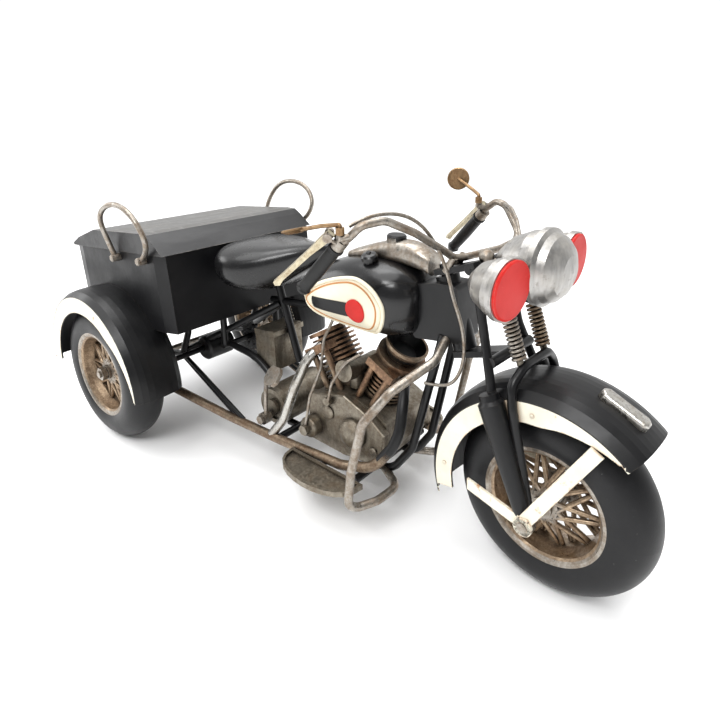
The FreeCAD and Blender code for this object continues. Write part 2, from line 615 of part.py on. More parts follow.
cargo = padded("cargo_box", box_plan(0), "sizes.box_depth", "XY_Plane", False, True)
inner = new_sketch(cargo, "XY_Plane", "cargo_inner")
outline(inner, box_plan(wall))
hollow = cargo.newObject("PartDesign::Pocket", "cargo_hollow")
hollow.Profile = (inner, [""])
hollow.setExpression("Length", "sizes.box_depth - sizes.box_wall")
hollow.Reversed = False
doc.recompute()
rise = size("lid_height")
lid_profile = [(0.8, 0.4), (-1.7, 2.6), (-9.4, 9.2), (-14.5, rise - 0.8), (-22.7, rise), (-84, rise - 0.3),
               (-109.5, rise - 6.8), (-length - 0.8, 2.2), (-length - 0.8, 0.4)]
lid = padded("cargo_lid", lid_profile, "2 * sizes.box_half_width + 1.6")
core = new_sketch(lid, "XZ_Plane", "cargo_lid_core")
outline(core, [(-1.2, -1), (-3.4, 1.8), (-10.4, 7.8), (-15.2, rise - 2.5), (-22.8, rise - 1.6), (-83.8, rise - 1.9),
               (-108.8, rise - 8.4), (-length + 1.2, 1.2), (-length + 1.2, -1)])
lid_hollow = lid.newObject("PartDesign::Pocket", "cargo_lid_hollow")
lid_hollow.Profile = (core, [""])
lid_hollow.Midplane = True
lid_hollow.setExpression("Length", "2 * sizes.box_half_width - 1.6")
doc.recompute()

# Two hinges join the lid to the back wall. Each has a pin and outer knuckles on the box, inner knuckle on the lid.
HINGE = Vector(-length - 3.6, 0, -0.8)
KNUCKLE = 2.0
box_hinges, lid_hinges, hinge_bores = [], [], []
for side_name, sign in SIDES:
    centre = HINGE + Vector(0, sign * 36, 0)
    box_hinges.append(rod("hinge_pin_" + side_name, centre - Y_AXIS * 7, centre + Y_AXIS * 7, "sizes.hinge_pin"))
    for label, start in (("outer", -7.0), ("inner", 2.6)):
        knuckle_foot = centre + Y_AXIS * start
        box_hinges.append(rod("box_knuckle_%s_%s" % (label, side_name), knuckle_foot, knuckle_foot + Y_AXIS * 4.4, "2"))
        leaf = doc.addObject("Part::Box", "box_leaf_%s_%s" % (label, side_name))
        leaf.Length, leaf.Width, leaf.Height = 4.2, 4.4, 6.0
        leaf.Placement = Placement(knuckle_foot + Vector(-0.4, 0, -6.6), Rotation())
        box_hinges.append(leaf)
    lid_hinges.append(rod("lid_knuckle_" + side_name, centre - Y_AXIS * 2.2, centre + Y_AXIS * 2.2, "2"))
    tab = doc.addObject("Part::Box", "lid_tab_" + side_name)
    tab.Length, tab.Width, tab.Height = 4.4, 4.4, 2.0
    tab.Placement = Placement(centre + Vector(-1.2, -2.2, 1.2), Rotation())
    lid_hinges.append(tab)
    hinge_bores.append(rod("hinge_bore_" + side_name, centre - Y_AXIS * 4, centre + Y_AXIS * 4,
                           "sizes.hinge_pin + sizes.bore_play"))

# Wheel wells: the box floor is notched round each rear tyre and the notch is lined with sheet metal.
outer_block = padded("cargo_outer", box_plan(0), "sizes.box_depth", "XY_Plane", False, True)
well_linings, well_cuts = [], []
for side_name, sign in SIDES:
    for label, radius, inset, group in (("lining", 3.4, 8.6, well_linings), ("cut", 2.0, 7.2, well_cuts)):
        near = BOX_TILT.inverse().multVec(at(0, sign * (half - inset), AXLE_HEIGHT))
        far = BOX_TILT.inverse().multVec(at(0, sign * (half + 4), AXLE_HEIGHT))
        group.append(rod("well_%s_%s" % (label, side_name), near, far, "sizes.tyre_radius + %s" % radius))
lining = doc.addObject("Part::Common", "well_lining")
lining.Base = outer_block
lining.Tool = joined("well_lining_rods", well_linings)
box_cut = doc.addObject("Part::Cut", "cargo_box_cut")
box_cut.Base = joined("cargo_box_set", [cargo, lining] + box_hinges)
box_cut.Tool = joined("well_cut_rods", well_cuts)
keep("cargo_box", box_cut, BOX_TILT)
lid_cut = doc.addObject("Part::Cut", "cargo_lid_cut")
lid_cut.Base = joined("cargo_lid_set", [lid] + lid_hinges)
lid_cut.Tool = joined("cargo_lid_bores", hinge_bores)
keep("cargo_lid", lid_cut, BOX_TILT)

# ---------------------------------------------------------------- rear fenders
def arched_shell(section, start, end, thickness):
    """Sheet of constant thickness swept round the wheel: section is (y, radius) across the tread."""
    outer = [Vector(radius, y, 0) for y, radius in section]
    inner = [Vector(radius - thickness, y, 0) for y, radius in reversed(section)]
    ring = Part.makePolygon(outer + inner + outer[:1])
    face = Part.Face(ring)
    face.rotate(Vector(), Y_AXIS, -start)
    shell = face.revolve(Vector(), Y_AXIS, -(end - start))
    return shell


def crown_section(inner_y, outer_y, edge_radius, crown_radius, steps=8):
    """Rounded tread between two edges, as (y, radius) pairs."""
    middle, half_span = (inner_y + outer_y) / 2, (outer_y - inner_y) / 2
    pairs = []
    for i in range(steps + 1):
        across = -1 + 2 * i / steps
        rise_here = (1 - abs(across) ** 2.6) ** 0.6
        pairs.append((middle + half_span * across, edge_radius + (crown_radius - edge_radius) * rise_here))
    return pairs


def on_circle(radius, y, degrees):
    return Vector(radius * math.cos(math.radians(degrees)), y, radius * math.sin(math.radians(degrees)))


def valance(outer_radius, inner_radius, y_outer, thickness, start, end):
    """Flat side skirt of a fender, tapering to a point at its front."""
    steps = 18
    foot_points = []
    for i in range(steps + 1):
        share = i / steps
        foot = outer_radius - (outer_radius - inner_radius) * min(1.0, 0.12 + 3.2 * share)
        foot_points.append(on_circle(foot, y_outer, start + (end - start) * share))
    foot_curve = Part.BSplineCurve()
    foot_curve.interpolate(foot_points)
    rim = [on_circle(outer_radius, y_outer, angle) for angle in (start, (start + end) / 2, end)]
    wire = Part.Wire([Part.Arc(*rim).toShape(), Part.makeLine(rim[2], foot_points[-1]), foot_curve.toShape(),
                      Part.makeLine(foot_points[0], rim[0])])
    return Part.Face(wire).extrude(Vector(0, thickness, 0))


metal = size("sheet_metal")
fender_edge, fender_crown = size("rear_fender_radius"), size("rear_fender_crown")
fender_in, fender_out = size("rear_fender_inner"), size("rear_fender_outer")
for side_name, sign in SIDES:
    section = crown_section(fender_in, fender_out, fender_edge, fender_crown)
    section = [(sign * y, radius) for y, radius in section]
    shell = arched_shell(section, -1.0, 181.0, metal)
    skirt = valance(fender_edge - metal / 2, 47.0, sign * fender_out, -sign * metal, 0.0, 180.0)
    arch = shell.fuse(skirt)
    arch.translate(at(0, 0, AXLE_HEIGHT))
    solid_box = Part.makeBox(length, 2 * half, depth + 20, Vector(-length, -half, -depth))
    solid_box.Placement = BOX_TILT
    arch = arch.cut(solid_box)
    keep("rear_fender_" + side_name, shaped("rear_fender_" + side_name, max(arch.Solids, key=lambda v: v.Volume)))

# ---------------------------------------------------------------- grab hoops
for side_name, sign in SIDES:
    foot_y, top_y = sign * (half + 2.9), sign * 73.5
    route = [at(14, foot_y, 134.8), at(11, sign * 68, 147), at(18, top_y - sign, 160), at(30, top_y, 170),
             at(50, top_y, 172), at(63, sign * 72, 165), at(64, sign * 68.5, 152), at(55, foot_y, 143),
             at(47.5, foot_y, 138)]
    pieces = [tube("hoop_%s_bar" % side_name, route, "hoop_tube", 11)]
    for station, z in ((14, 134.6), (47, 137.6)):
        pieces.append(hexagon("hoop_%s_bolt_%d" % (side_name, station), at(station, sign * half, z),
                              Vector(0, sign, 0), 5.2, 6.6))
    keep("grab_hoop_" + side_name, joined("grab_hoop_set_" + side_name, pieces))

# ---------------------------------------------------------------- tank, console, filler and seat
def section_loop(station, half_width, low, high, power=2.3, count=24):
    """Rounded upright section across the frame at a station, as a smooth closed wire."""
    middle, reach = (low + high) / 2, (high - low) / 2
    points = []
    for i in range(count):
        angle = 2 * math.pi * i / count
        c, s = math.cos(angle), math.sin(angle)
        points.append(at(station, half_width * math.copysign(abs(c) ** (2 / power), c),
                         middle + reach * math.copysign(abs(s) ** (2 / power), s)))
    curve = Part.BSplineCurve()
    curve.interpolate(points, PeriodicFlag=True)
    return Part.Wire(curve.toShape())


tank_sections = [(138, 8, 119, 134), (144, 17, 114.5, 139), (154, 22.5, 112, 144), (166, 24.5, 111, 148.5),
                 (180, 25, 110.5, 152), (194, 25, 110.5, 153), (206, 23.5, 111, 151.5), (214, 19, 113, 148),
                 (219.5, 11, 118, 143)]
tank = shaped("tank_shell", Part.makeLoft([section_loop(*entry, 2.6) for entry in tank_sections], True, False))
cap = turned("filler_cap", [(0, -5), (3.0, -5), (3.0, 0), (4.6, 0.4), (4.6, 2.4), (3.8, 3.4), (1.4, 3.9), (1.2, 4.9),
                            (0, 4.9)])
cap.Placement = aim(at(190, -13, 152.4), Vector(0, -0.25, 1))
keep("fuel_tank", joined("fuel_tank_set", [tank, cap]))

console_sections = [(166, 3.5, 147, 151.5), (178, 7, 149, 156.5), (190, 7.6, 150, 160.5), (202, 7.6, 150, 163),
                    (212, 7.5, 149.5, 162.5), (222.5, 6, 147, 158)]
console = shaped("console_shell", Part.makeLoft([section_loop(*entry, 2.6) for entry in console_sections], True, False))
dial = turned("speedometer", [(0, -2.5), (5.4, -2.5), (5.4, 0.6), (4.7, 1.4), (0, 1.4)])
dial.Placement = aim(at(198, 0, 163.8), Vector(0.05, 0, 1))
keep("dash_console", joined("dash_console_set", [console, dial]))

seat_sections = [(70, 24, 127, 143.5), (78, 33, 121, 146), (88, 37, 117.5, 147), (98, 36, 117, 147.5),
                 (108, 31, 118.5, 148), (120, 22, 124.5, 149), (132, 12, 132.5, 150.5), (142, 6.5, 139.5, 152),
                 (149, 3.5, 144, 152.5)]
saddle = Part.makeLoft([section_loop(*entry, 2.7) for entry in seat_sections], True, False)
keep("saddle", shaped("saddle", saddle))

# ---------------------------------------------------------------- steering: fork and clamps
fork_parts = [rod("steering_stem", HEAD_POINT - HEAD_AXIS * 23, HEAD_POINT + HEAD_AXIS * 26, "sizes.leg_tube + 0.8")]
FORWARD = Y_AXIS.cross(HEAD_AXIS)
CLAMP_WIDTH, CLAMP_THICK = 10.0, 3.2
for level, name, back, front, bar_reach in ((-21.5, "lower_clamp", 5, 28, 18), (22.5, "upper_clamp", 4.4, 26, 14.5)):
    middle = HEAD_POINT + HEAD_AXIS * level
    plate = doc.addObject("Part::Box", name)
    plate.Length, plate.Width, plate.Height = back + front, CLAMP_WIDTH, CLAMP_THICK
    corner = middle - FORWARD * back - Y_AXIS * (CLAMP_WIDTH / 2) - HEAD_AXIS * (CLAMP_THICK / 2)
    plate.Placement = aim(corner, HEAD_AXIS, FORWARD)
    bar_middle = middle + FORWARD * (front - 1.5)
    fork_parts.append(plate)
    fork_parts.append(rod(name + "_bar", bar_middle - Y_AXIS * bar_reach, bar_middle + Y_AXIS * bar_reach,
                          "sizes.leg_tube + 0.4"))
BRIDGE = [at(297, 21.5, 50), at(294, 21.3, 62), at(284, 21.5, 101.5), at(281.5, 19.5, 112), at(282.5, 11, 118.8)]
for side_name, sign in SIDES:
    leg = [at(255.6, sign * 13.9, 161), at(263.8, sign * 15, 127.7), at(272.5, sign * 20.5, 104.5),
           at(275.5, sign * 22.8, 97)]
    fork_parts.append(tube("fork_leg_" + side_name, leg, "leg_tube", 24))
    fork_parts.append(hexagon("leg_bolt_" + side_name, leg[0], HEAD_AXIS, 5.6, 2.6))
    top, foot = at(273.5, sign * 23.5, 103.5), at(296.6, sign * 25.2, 50)
    run = (foot - top).Length
    sleeve = turned("fork_sleeve_" + side_name, [(0, -3), (4.4, -3), (4.8, 0), (6.2, 1.5), (5.9, 10), (4.0, run - 3),
                                                 (4.0, run + 4), (0, run + 4)])
    sleeve.Placement = aim(top, foot - top)
    fork_parts.append(sleeve)
    hanger_foot = leg[0] + (leg[1] - leg[0]) * 0.6
    fork_parts.append(rod("spring_hanger_" + side_name, hanger_foot, at(272.6, sign * 11, 142), "sizes.rod_tube + 0.3"))
fork_parts.append(tube("fork_bridge", BRIDGE + flip(reversed(BRIDGE)), "leg_tube", 9))
keep("fork", joined("fork_set", fork_parts), None, True)

for side_name, sign in SIDES:
    foot, top = at(280, sign * 11, 121), at(272.6, sign * 11, 141)
    coil_radius, wire = size("spring_radius"), size("spring_wire")
    run = (top - foot).Length
    helix = Part.makeHelix(run / 7.5, run, coil_radius - wire)
    start = Part.Wire(Part.makeCircle(wire, Vector(coil_radius - wire, 0, 0), Y_AXIS))
    coil = Part.Wire(helix.Edges).makePipeShell([start], True, True)
    rod_shape = Part.makeCylinder(1.3, run + 3.4, Vector(0, 0, -2.4))
    ends = [Part.makeCylinder(coil_radius + 0.3, 1.8, Vector(0, 0, z)) for z in (-1.2, run - 0.6)]
    spring = rod_shape.multiFuse(ends + [coil])
    keep("fork_spring_" + side_name, shaped("fork_spring_" + side_name, spring), aim(foot, top - foot), True)

# ---------------------------------------------------------------- lamps
def lamp_profile(radius, depth_back, dome):
    """Bowl, bezel ring and domed or flat front as (radius, height) corners; the front faces +Z."""
    bowl_part = [(0, -depth_back), (radius * 0.34, -depth_back), (radius * 0.7, -depth_back * 0.72),
                 (radius * 0.93, -depth_back * 0.3), (radius * 0.96, -1.6), (radius * 1.04, -1.6),
                 (radius * 1.04, 1.2)]
    front = [(radius * 0.95 * math.cos(math.radians(a)), 1.2 + dome * math.sin(math.radians(a)))
             for a in (8, 25, 45, 65)] if dome else [(radius * 0.95, 1.2)]
    return bowl_part + front + [(0, 1.2 + dome)]


AHEAD = Vector(1, 0, 0.03)
keep("headlamp", turned("headlamp", lamp_profile(size("headlamp_radius"), 22, 11)),
     aim(at(283.3, 0, 163.4), AHEAD), True)
for side_name, sign in SIDES:
    spot = at(281.5, sign * 28.5, 160)
    look = Vector(1, sign * 0.06, -0.02)
    radius = size("side_lamp_radius")
    bowl = turned("side_lamp_" + side_name, lamp_profile(radius, 17, 0))
    bowl.Placement = aim(spot, look)
    lens = turned("side_lens_" + side_name, [(0, -1), (radius * 0.97, -1), (radius * 0.97, 0.9), (radius * 0.9, 1.4),
                                             (0, 1.4)])
    lens.Placement = aim(spot + Vector(look).normalize() * 1.2, look)
    keep("side_lamp_" + side_name, joined("side_lamp_set_" + side_name, [bowl, lens]), None, True)
bracket_parts = [tube("lamp_bar", [at(268, -28.5, 159), at(262, -15, 155), at(262, 15, 155), at(268, 28.5, 159)],
                      "rod_tube", 8),
                 rod("lamp_post", at(253, 0, 159.4), at(265, 0, 162), "sizes.leg_tube"),
                 rod("lamp_stem", at(262, 0, 154), at(262, 0, 162), "sizes.leg_tube")]
ball = doc.addObject("Part::Sphere", "lamp_ball")
ball.Radius = 3.6
ball.Placement = Placement(at(257.5, -7.5, 165), Rotation())
bracket_parts.append(ball)
bracket_parts.append(rod("ball_stem", at(257.5, -7.5, 165), at(255, -5, 160), "sizes.rod_tube"))
bracket_parts.append(rod("ball_foot", at(255, -5, 160), at(255, 0, 160), "sizes.rod_tube"))
keep("lamp_bracket", joined("lamp_bracket_set", bracket_parts), None, True)

# ---------------------------------------------------------------- handlebar, grips, levers and mirrors
BAR = {
    -1: [at(236, -3, 159.5), at(235.7, -10, 164.2), at(233.4, -30, 176.6), at(228.8, -45, 184.3),
         at(223.3, -54.5, 182.8), at(219.5, -57, 178), at(211, -57.3, 172)],
    1: [at(238, 3, 158.8), at(245, 25, 160), at(246, 38, 161.4), at(243, 46, 164.5), at(232, 50, 177),
        at(224.5, 52.5, 178.3), at(216.5, 55, 172.5), at(212, 56.3, 167.5)],
}
GRIP_FOOT = {-1: at(189.5, -62, 147.5), 1: at(189.5, 60.5, 143)}
MIRROR_FOOT = {-1: at(216.8, -60.8, 177), 1: at(213, 52, 174)}
bar_route = [GRIP_FOOT[-1] + (BAR[-1][-1] - GRIP_FOOT[-1]) * 0.3] + BAR[-1][::-1]
bar_route += BAR[1] + [GRIP_FOOT[1] + (BAR[1][-1] - GRIP_FOOT[1]) * 0.3]
bar_parts = [tube("handlebar_tube", bar_route, "bar_tube", 9)]
for sign in (-1, 1):
    bar_parts.append(rod("riser_%d" % (sign > 0), at(232.2, sign * 4, 151.8), at(237, sign * 4, 160), "sizes.bar_tube"))
bar_parts.append(tube("lamp_wire", [at(228, 51.3, 178), at(240, 42, 178), at(250, 31, 174.5), at(259, 19, 169.5),
                                    at(265, 7, 165.5)], "cable_radius", 30))
LEVERS = {}
for side_name, sign in SIDES:
    grip_top = BAR[sign][-1]
    grip_line = (GRIP_FOOT[sign] - grip_top).normalize()
    outward = Vector(-0.5, sign * 0.6, 0.6)
    outward = (outward - grip_line * outward.dot(grip_line)).normalize()
    pivot = grip_top - grip_line * 2.5 + outward * 6.4
    hinge = grip_line.cross(outward)
    bar_parts.append(rod("perch_ring_" + side_name, grip_top - grip_line * 4.4, grip_top + grip_line * 0.6,
                         "sizes.grip_radius"))
    bar_parts.append(rod("perch_pin_" + side_name, pivot - hinge * 2.6, pivot + hinge * 2.6, "0.9"))
    for offset in (-2.4, 2.4):
        label = "%s_%d" % (side_name, offset > 0)
        ear = pivot + hinge * offset
        bar_parts.append(rod("perch_arm_" + label, grip_top - grip_line * 2.6 + hinge * offset, ear, "0.8"))
        bar_parts.append(rod("perch_ear_" + label, ear - hinge * 0.8, ear + hinge * 0.8, "2.2"))
    bar_parts.append(rod("mirror_post_" + side_name, BAR[sign][-2], MIRROR_FOOT[sign], "1.6"))
    bar_parts.append(rod("mirror_pin_" + side_name, MIRROR_FOOT[sign] - Z_AXIS, MIRROR_FOOT[sign] + Z_AXIS * 3.6,
                         "sizes.hinge_pin"))
    LEVERS[side_name] = (pivot, hinge, grip_line, outward)
keep("handlebar", joined("handlebar_set", bar_parts), None, True)

for side_name, sign in SIDES:
    pivot, hinge, grip_line, outward = LEVERS[side_name]
    grip_top = BAR[sign][-1] + grip_line * 0.9
    length_here = (GRIP_FOOT[sign] - grip_top).Length
    grip = turned("grip_" + side_name, [(0, 0), (3.9, 0), (3.9, 1.2), (3.3, 2.2), (3.5, length_here * 0.5),
                                        (3.2, length_here - 2.5), (3.8, length_here - 1.8), (3.0, length_here),
                                        (0, length_here)])
    keep("grip_" + side_name, grip, aim(grip_top, grip_line), True)

    blade = [(-1.9, -2.0), (3.0, -2.0), (14, -0.9), (36, -0.4), (39.5, -1.2), (41.4, 0.4), (40.4, 2.2), (35, 1.9),
             (13, 1.6), (3.0, 2.0), (-1.9, 1.7)]
    lever = padded("lever_" + side_name, blade, 2.4)
    eye = doc.addObject("Part::Cylinder", "lever_eye_" + side_name)
    eye.setExpression("Radius", "0.9 + sizes.bore_play")
    eye.Height = 8
    eye.Placement = Placement(Vector(0, 4, 0), Rotation(X_AXIS, 90))
    bored = doc.addObject("Part::Cut", "lever_bored_" + side_name)
    bored.Base = lever
    bored.Tool = eye
    spread = Rotation(hinge, 7)
    blade_axis = spread.multVec(grip_line)
    out_axis = spread.multVec(outward)
    turn = Rotation(blade_axis, out_axis.cross(blade_axis), out_axis, "XZY")
    keep("lever_" + side_name, bored, Placement(pivot, turn), True)


def mirror(side_name, sign, knee, centre, normal):
    """Round mirror on a bent stem. Its sleeve swivels on the pin of the handlebar clamp."""
    node = "mirror_" + side_name
    radius = size("mirror_radius")
    dish = turned(node + "_dish", [(0, -1.6), (radius * 0.6, -1.4), (radius, 0), (radius, 0.7), (radius - 0.7, 0.9),
                                   (radius - 1.0, 0.5), (0, 0.5)])
    dish.Placement = aim(centre, normal)
    foot = MIRROR_FOOT[sign]
    sleeve = rod(node + "_sleeve", foot + Z_AXIS * 2.0, foot + Z_AXIS * 5.2, "sizes.hinge_pin + 1")
    stem = tube(node + "_stem", [foot + Z_AXIS * 4.6, foot + Z_AXIS * 6.4, knee, centre], "hinge_pin", 2.2)
    bore = rod(node + "_bore", foot, foot + Z_AXIS * 4.0, "sizes.hinge_pin + sizes.bore_play")
    swivel = doc.addObject("Part::Cut", node + "_cut")
    swivel.Base = joined(node + "_set", [dish, stem, sleeve])
    swivel.Tool = bore
    keep(node, swivel, None, True)


mirror("left", 1, at(207, 55.5, 182), at(192.8, 60, 187), Vector(0.5, -0.85, 0.1))
mirror("right", -1, at(206, -62, 181.5), at(187, -62, 176.5), Vector(-0.3, 0.05, 1))

# ---------------------------------------------------------------- front fender
edge_radius, crown = size("front_fender_radius"), size("front_fender_crown")
half_fender = size("front_fender_half")
section = crown_section(-half_fender, half_fender, edge_radius, crown, 10)
shell = arched_shell(section, 49.0, 197.0, metal)
skirts = [valance(edge_radius - metal / 2, 47.0, sign * half_fender, -sign * metal, 53.0, 192.0) for sign in (-1, 1)]
front_fender = shell.multiFuse(skirts)
keep("front_fender", shaped("front_fender", front_fender), Placement(FRONT_CENTRE, Rotation()), True)

angle = math.radians(66)
lamp_spot = FRONT_CENTRE + Vector(math.cos(angle), 0, math.sin(angle)) * (crown + 0.2)
pill = padded("fender_lamp", [(-11.5, -1.5), (-9.5, -3.7), (9.5, -3.7), (11.5, -1.5), (11.5, 1.5), (9.5, 3.7),
                              (-9.5, 3.7), (-11.5, 1.5)], 5.4, "XY_Plane", True)
top_face = pill.Shape.BoundBox.ZMax
round_edges(pill, "fender_lamp", 1.8, lambda e: abs(e.BoundBox.ZMin - top_face) < 0.01)
keep("fender_lamp", pill, aim(lamp_spot, Vector(math.cos(angle), 0, math.sin(angle)), Vector(math.sin(angle), 0,
                                                                                         -math.cos(angle))), True)

for side_name, sign in SIDES:
    straps = []
    for label, tip in (("front", at(322.6, sign * 20.1, 97)), ("rear", at(262, sign * 20.4, 49.2))):
        root = at(297.6, sign * 29.2, 51.4)
        direction = tip - root
        strap = doc.addObject("Part::Box", "strap_%s_%s" % (label, side_name))
        strap.Length, strap.Width, strap.Height = 6.4, 1.2, direction.Length + 3
        place = aim(root, direction, Vector(direction.z, 0, -direction.x))
        strap.Placement = place.multiply(Placement(Vector(-3.2, -0.6, -3), Rotation()))
        straps.append(strap)
    washer = rod("strap_eye_" + side_name, at(298, sign * 28.6, 50), at(298, sign * 30.4, 50), "4.6")
    solid = joined("strap_solid_" + side_name, straps + [washer])
    hole = rod("strap_hole_" + side_name, at(298, sign * 26, 50), at(298, sign * 34, 50), "sizes.axle_radius")
    strap_cut = doc.addObject("Part::Cut", "strap_cut_" + side_name)
    strap_cut.Base = solid
    strap_cut.Tool = hole
    keep("fender_strap_" + side_name, strap_cut, None, True)

# ---------------------------------------------------------------- foot pedal and control cables
pedal_parts = [rod("pedal_hub", PEDAL + Vector(0, -3.4, 0), PEDAL + Vector(0, 2.0, 0), "4"),
               hexagon("pedal_nut", PEDAL + Vector(0, -3.2, 0), OUT, 5.4, 2.6),
               tube("pedal_arm", [PEDAL + Vector(1, -1, 1), at(119, -31.5, 56), at(128, -37, 72)], "rod_tube", 14)]
pad_plate = padded("pedal_pad", [(-8, -3.0), (-5, -6.0), (5, -6.0), (8, -3.0), (8, 3.0), (5, 6.0), (-5, 6.0),
                                 (-8, 3.0)], 2.2, "XY_Plane", True)
pad_plate.Placement = aim(at(135, -38, 75), Vector(-0.35, -0.75, 0.65), X_AXIS)
pedal_parts.append(pad_plate)
pedal_solid = joined("pedal_solid", pedal_parts)
pedal_bore = rod("pedal_bore", PEDAL + Vector(0, -2.6, 0), PEDAL + Vector(0, 3, 0), "2 + sizes.bore_play")
pedal_cut = doc.addObject("Part::Cut", "pedal_cut")
pedal_cut.Base = pedal_solid
pedal_cut.Tool = pedal_bore
keep("foot_pedal", pedal_cut)

CABLE_TOP = [at(216.5, -55, 181.6), at(219, -50.5, 184), at(223, -42, 186), at(227, -32, 184.8),
             at(230, -23, 179.8), at(233, -16.5, 171.5), at(237.5, -14.2, 162), at(241.5, -14, 152.5), at(244.4, -14, 143)]
CABLE_LOW = [at(244.8, -14, 141.6), at(248, -14.2, 131), at(250.6, -14, 119), at(249.4, -13.4, 107), at(245, -12.8, 97.5),
             at(237, -11.6, 92), at(226, -10.4, 90)]
keep("cable_upper", tube("cable_upper", CABLE_TOP, "cable_radius", 60))
keep("cable_lower", tube("cable_lower", CABLE_LOW, "cable_radius", 60))

# ---------------------------------------------------------------- check and export
doc.recompute()
problems = [o.Name for o in doc.Objects if "Invalid" in o.State or "Error" in o.State]
for node, item in NODES.items():
    shape = item.Shape
    if shape.isNull() or not shape.isValid() or not shape.Solids:
        problems.append(node)
if problems:
    raise RuntimeError("failed objects: " + ", ".join(problems))
os.makedirs("parts", exist_ok=True)
for node, item in NODES.items():
    item.Shape.exportStep("parts/%s.step" % node)
print("nodes", len(NODES))
for node, item in NODES.items():
    extent = item.Shape.BoundBox
    print("%-22s solids %d  x %.1f %.1f  y %.1f %.1f  z %.1f %.1f" % (
        node, len(item.Shape.Solids), extent.XMin, extent.XMax, extent.YMin, extent.YMax, extent.ZMin, extent.ZMax))
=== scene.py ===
import json
import math

import bmesh
import bpy
from mathutils import Matrix, Vector
from mathutils.bvhtree import BVHTree


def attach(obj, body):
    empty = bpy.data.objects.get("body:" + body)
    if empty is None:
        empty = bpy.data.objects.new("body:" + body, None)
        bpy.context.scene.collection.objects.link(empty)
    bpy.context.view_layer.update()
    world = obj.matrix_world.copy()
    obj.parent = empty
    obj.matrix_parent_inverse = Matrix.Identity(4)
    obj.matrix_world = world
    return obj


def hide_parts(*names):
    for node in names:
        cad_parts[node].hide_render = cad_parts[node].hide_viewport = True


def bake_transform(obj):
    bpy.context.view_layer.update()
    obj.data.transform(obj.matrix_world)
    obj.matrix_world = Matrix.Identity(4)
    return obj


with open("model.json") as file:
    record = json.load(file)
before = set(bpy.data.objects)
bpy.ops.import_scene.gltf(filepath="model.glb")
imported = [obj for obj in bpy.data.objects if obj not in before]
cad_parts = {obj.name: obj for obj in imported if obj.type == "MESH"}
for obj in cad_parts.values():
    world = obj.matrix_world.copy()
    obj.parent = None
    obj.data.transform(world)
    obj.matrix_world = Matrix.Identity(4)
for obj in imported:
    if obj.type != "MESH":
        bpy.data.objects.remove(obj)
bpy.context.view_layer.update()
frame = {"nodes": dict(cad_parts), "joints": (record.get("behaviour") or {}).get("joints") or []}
nodes = frame["nodes"]
joints = {joint["name"]: joint for joint in frame["joints"]}

REAR_AXLE_X = -143.0          # millimetres, where station 0 lies
SIDES = (("right", -1), ("left", 1))
SEED = 7.3


def at(station, y, z):
    """A point given in millimetres, measured along the model from the rear axle."""
    return Vector((station + REAR_AXLE_X, y, z)) / 1000


STEER_POINT = Vector(joints["steer"]["pos_m"])
STEER_AXIS = Vector(joints["steer"]["axis"]).normalized()
STEER_TURN = Matrix.Rotation(math.radians(-5), 3, STEER_AXIS)


def steered(point):
    """A point of the steering assembly, turned slightly right as it stands at rest."""
    return STEER_POINT + STEER_TURN @ (point - STEER_POINT)


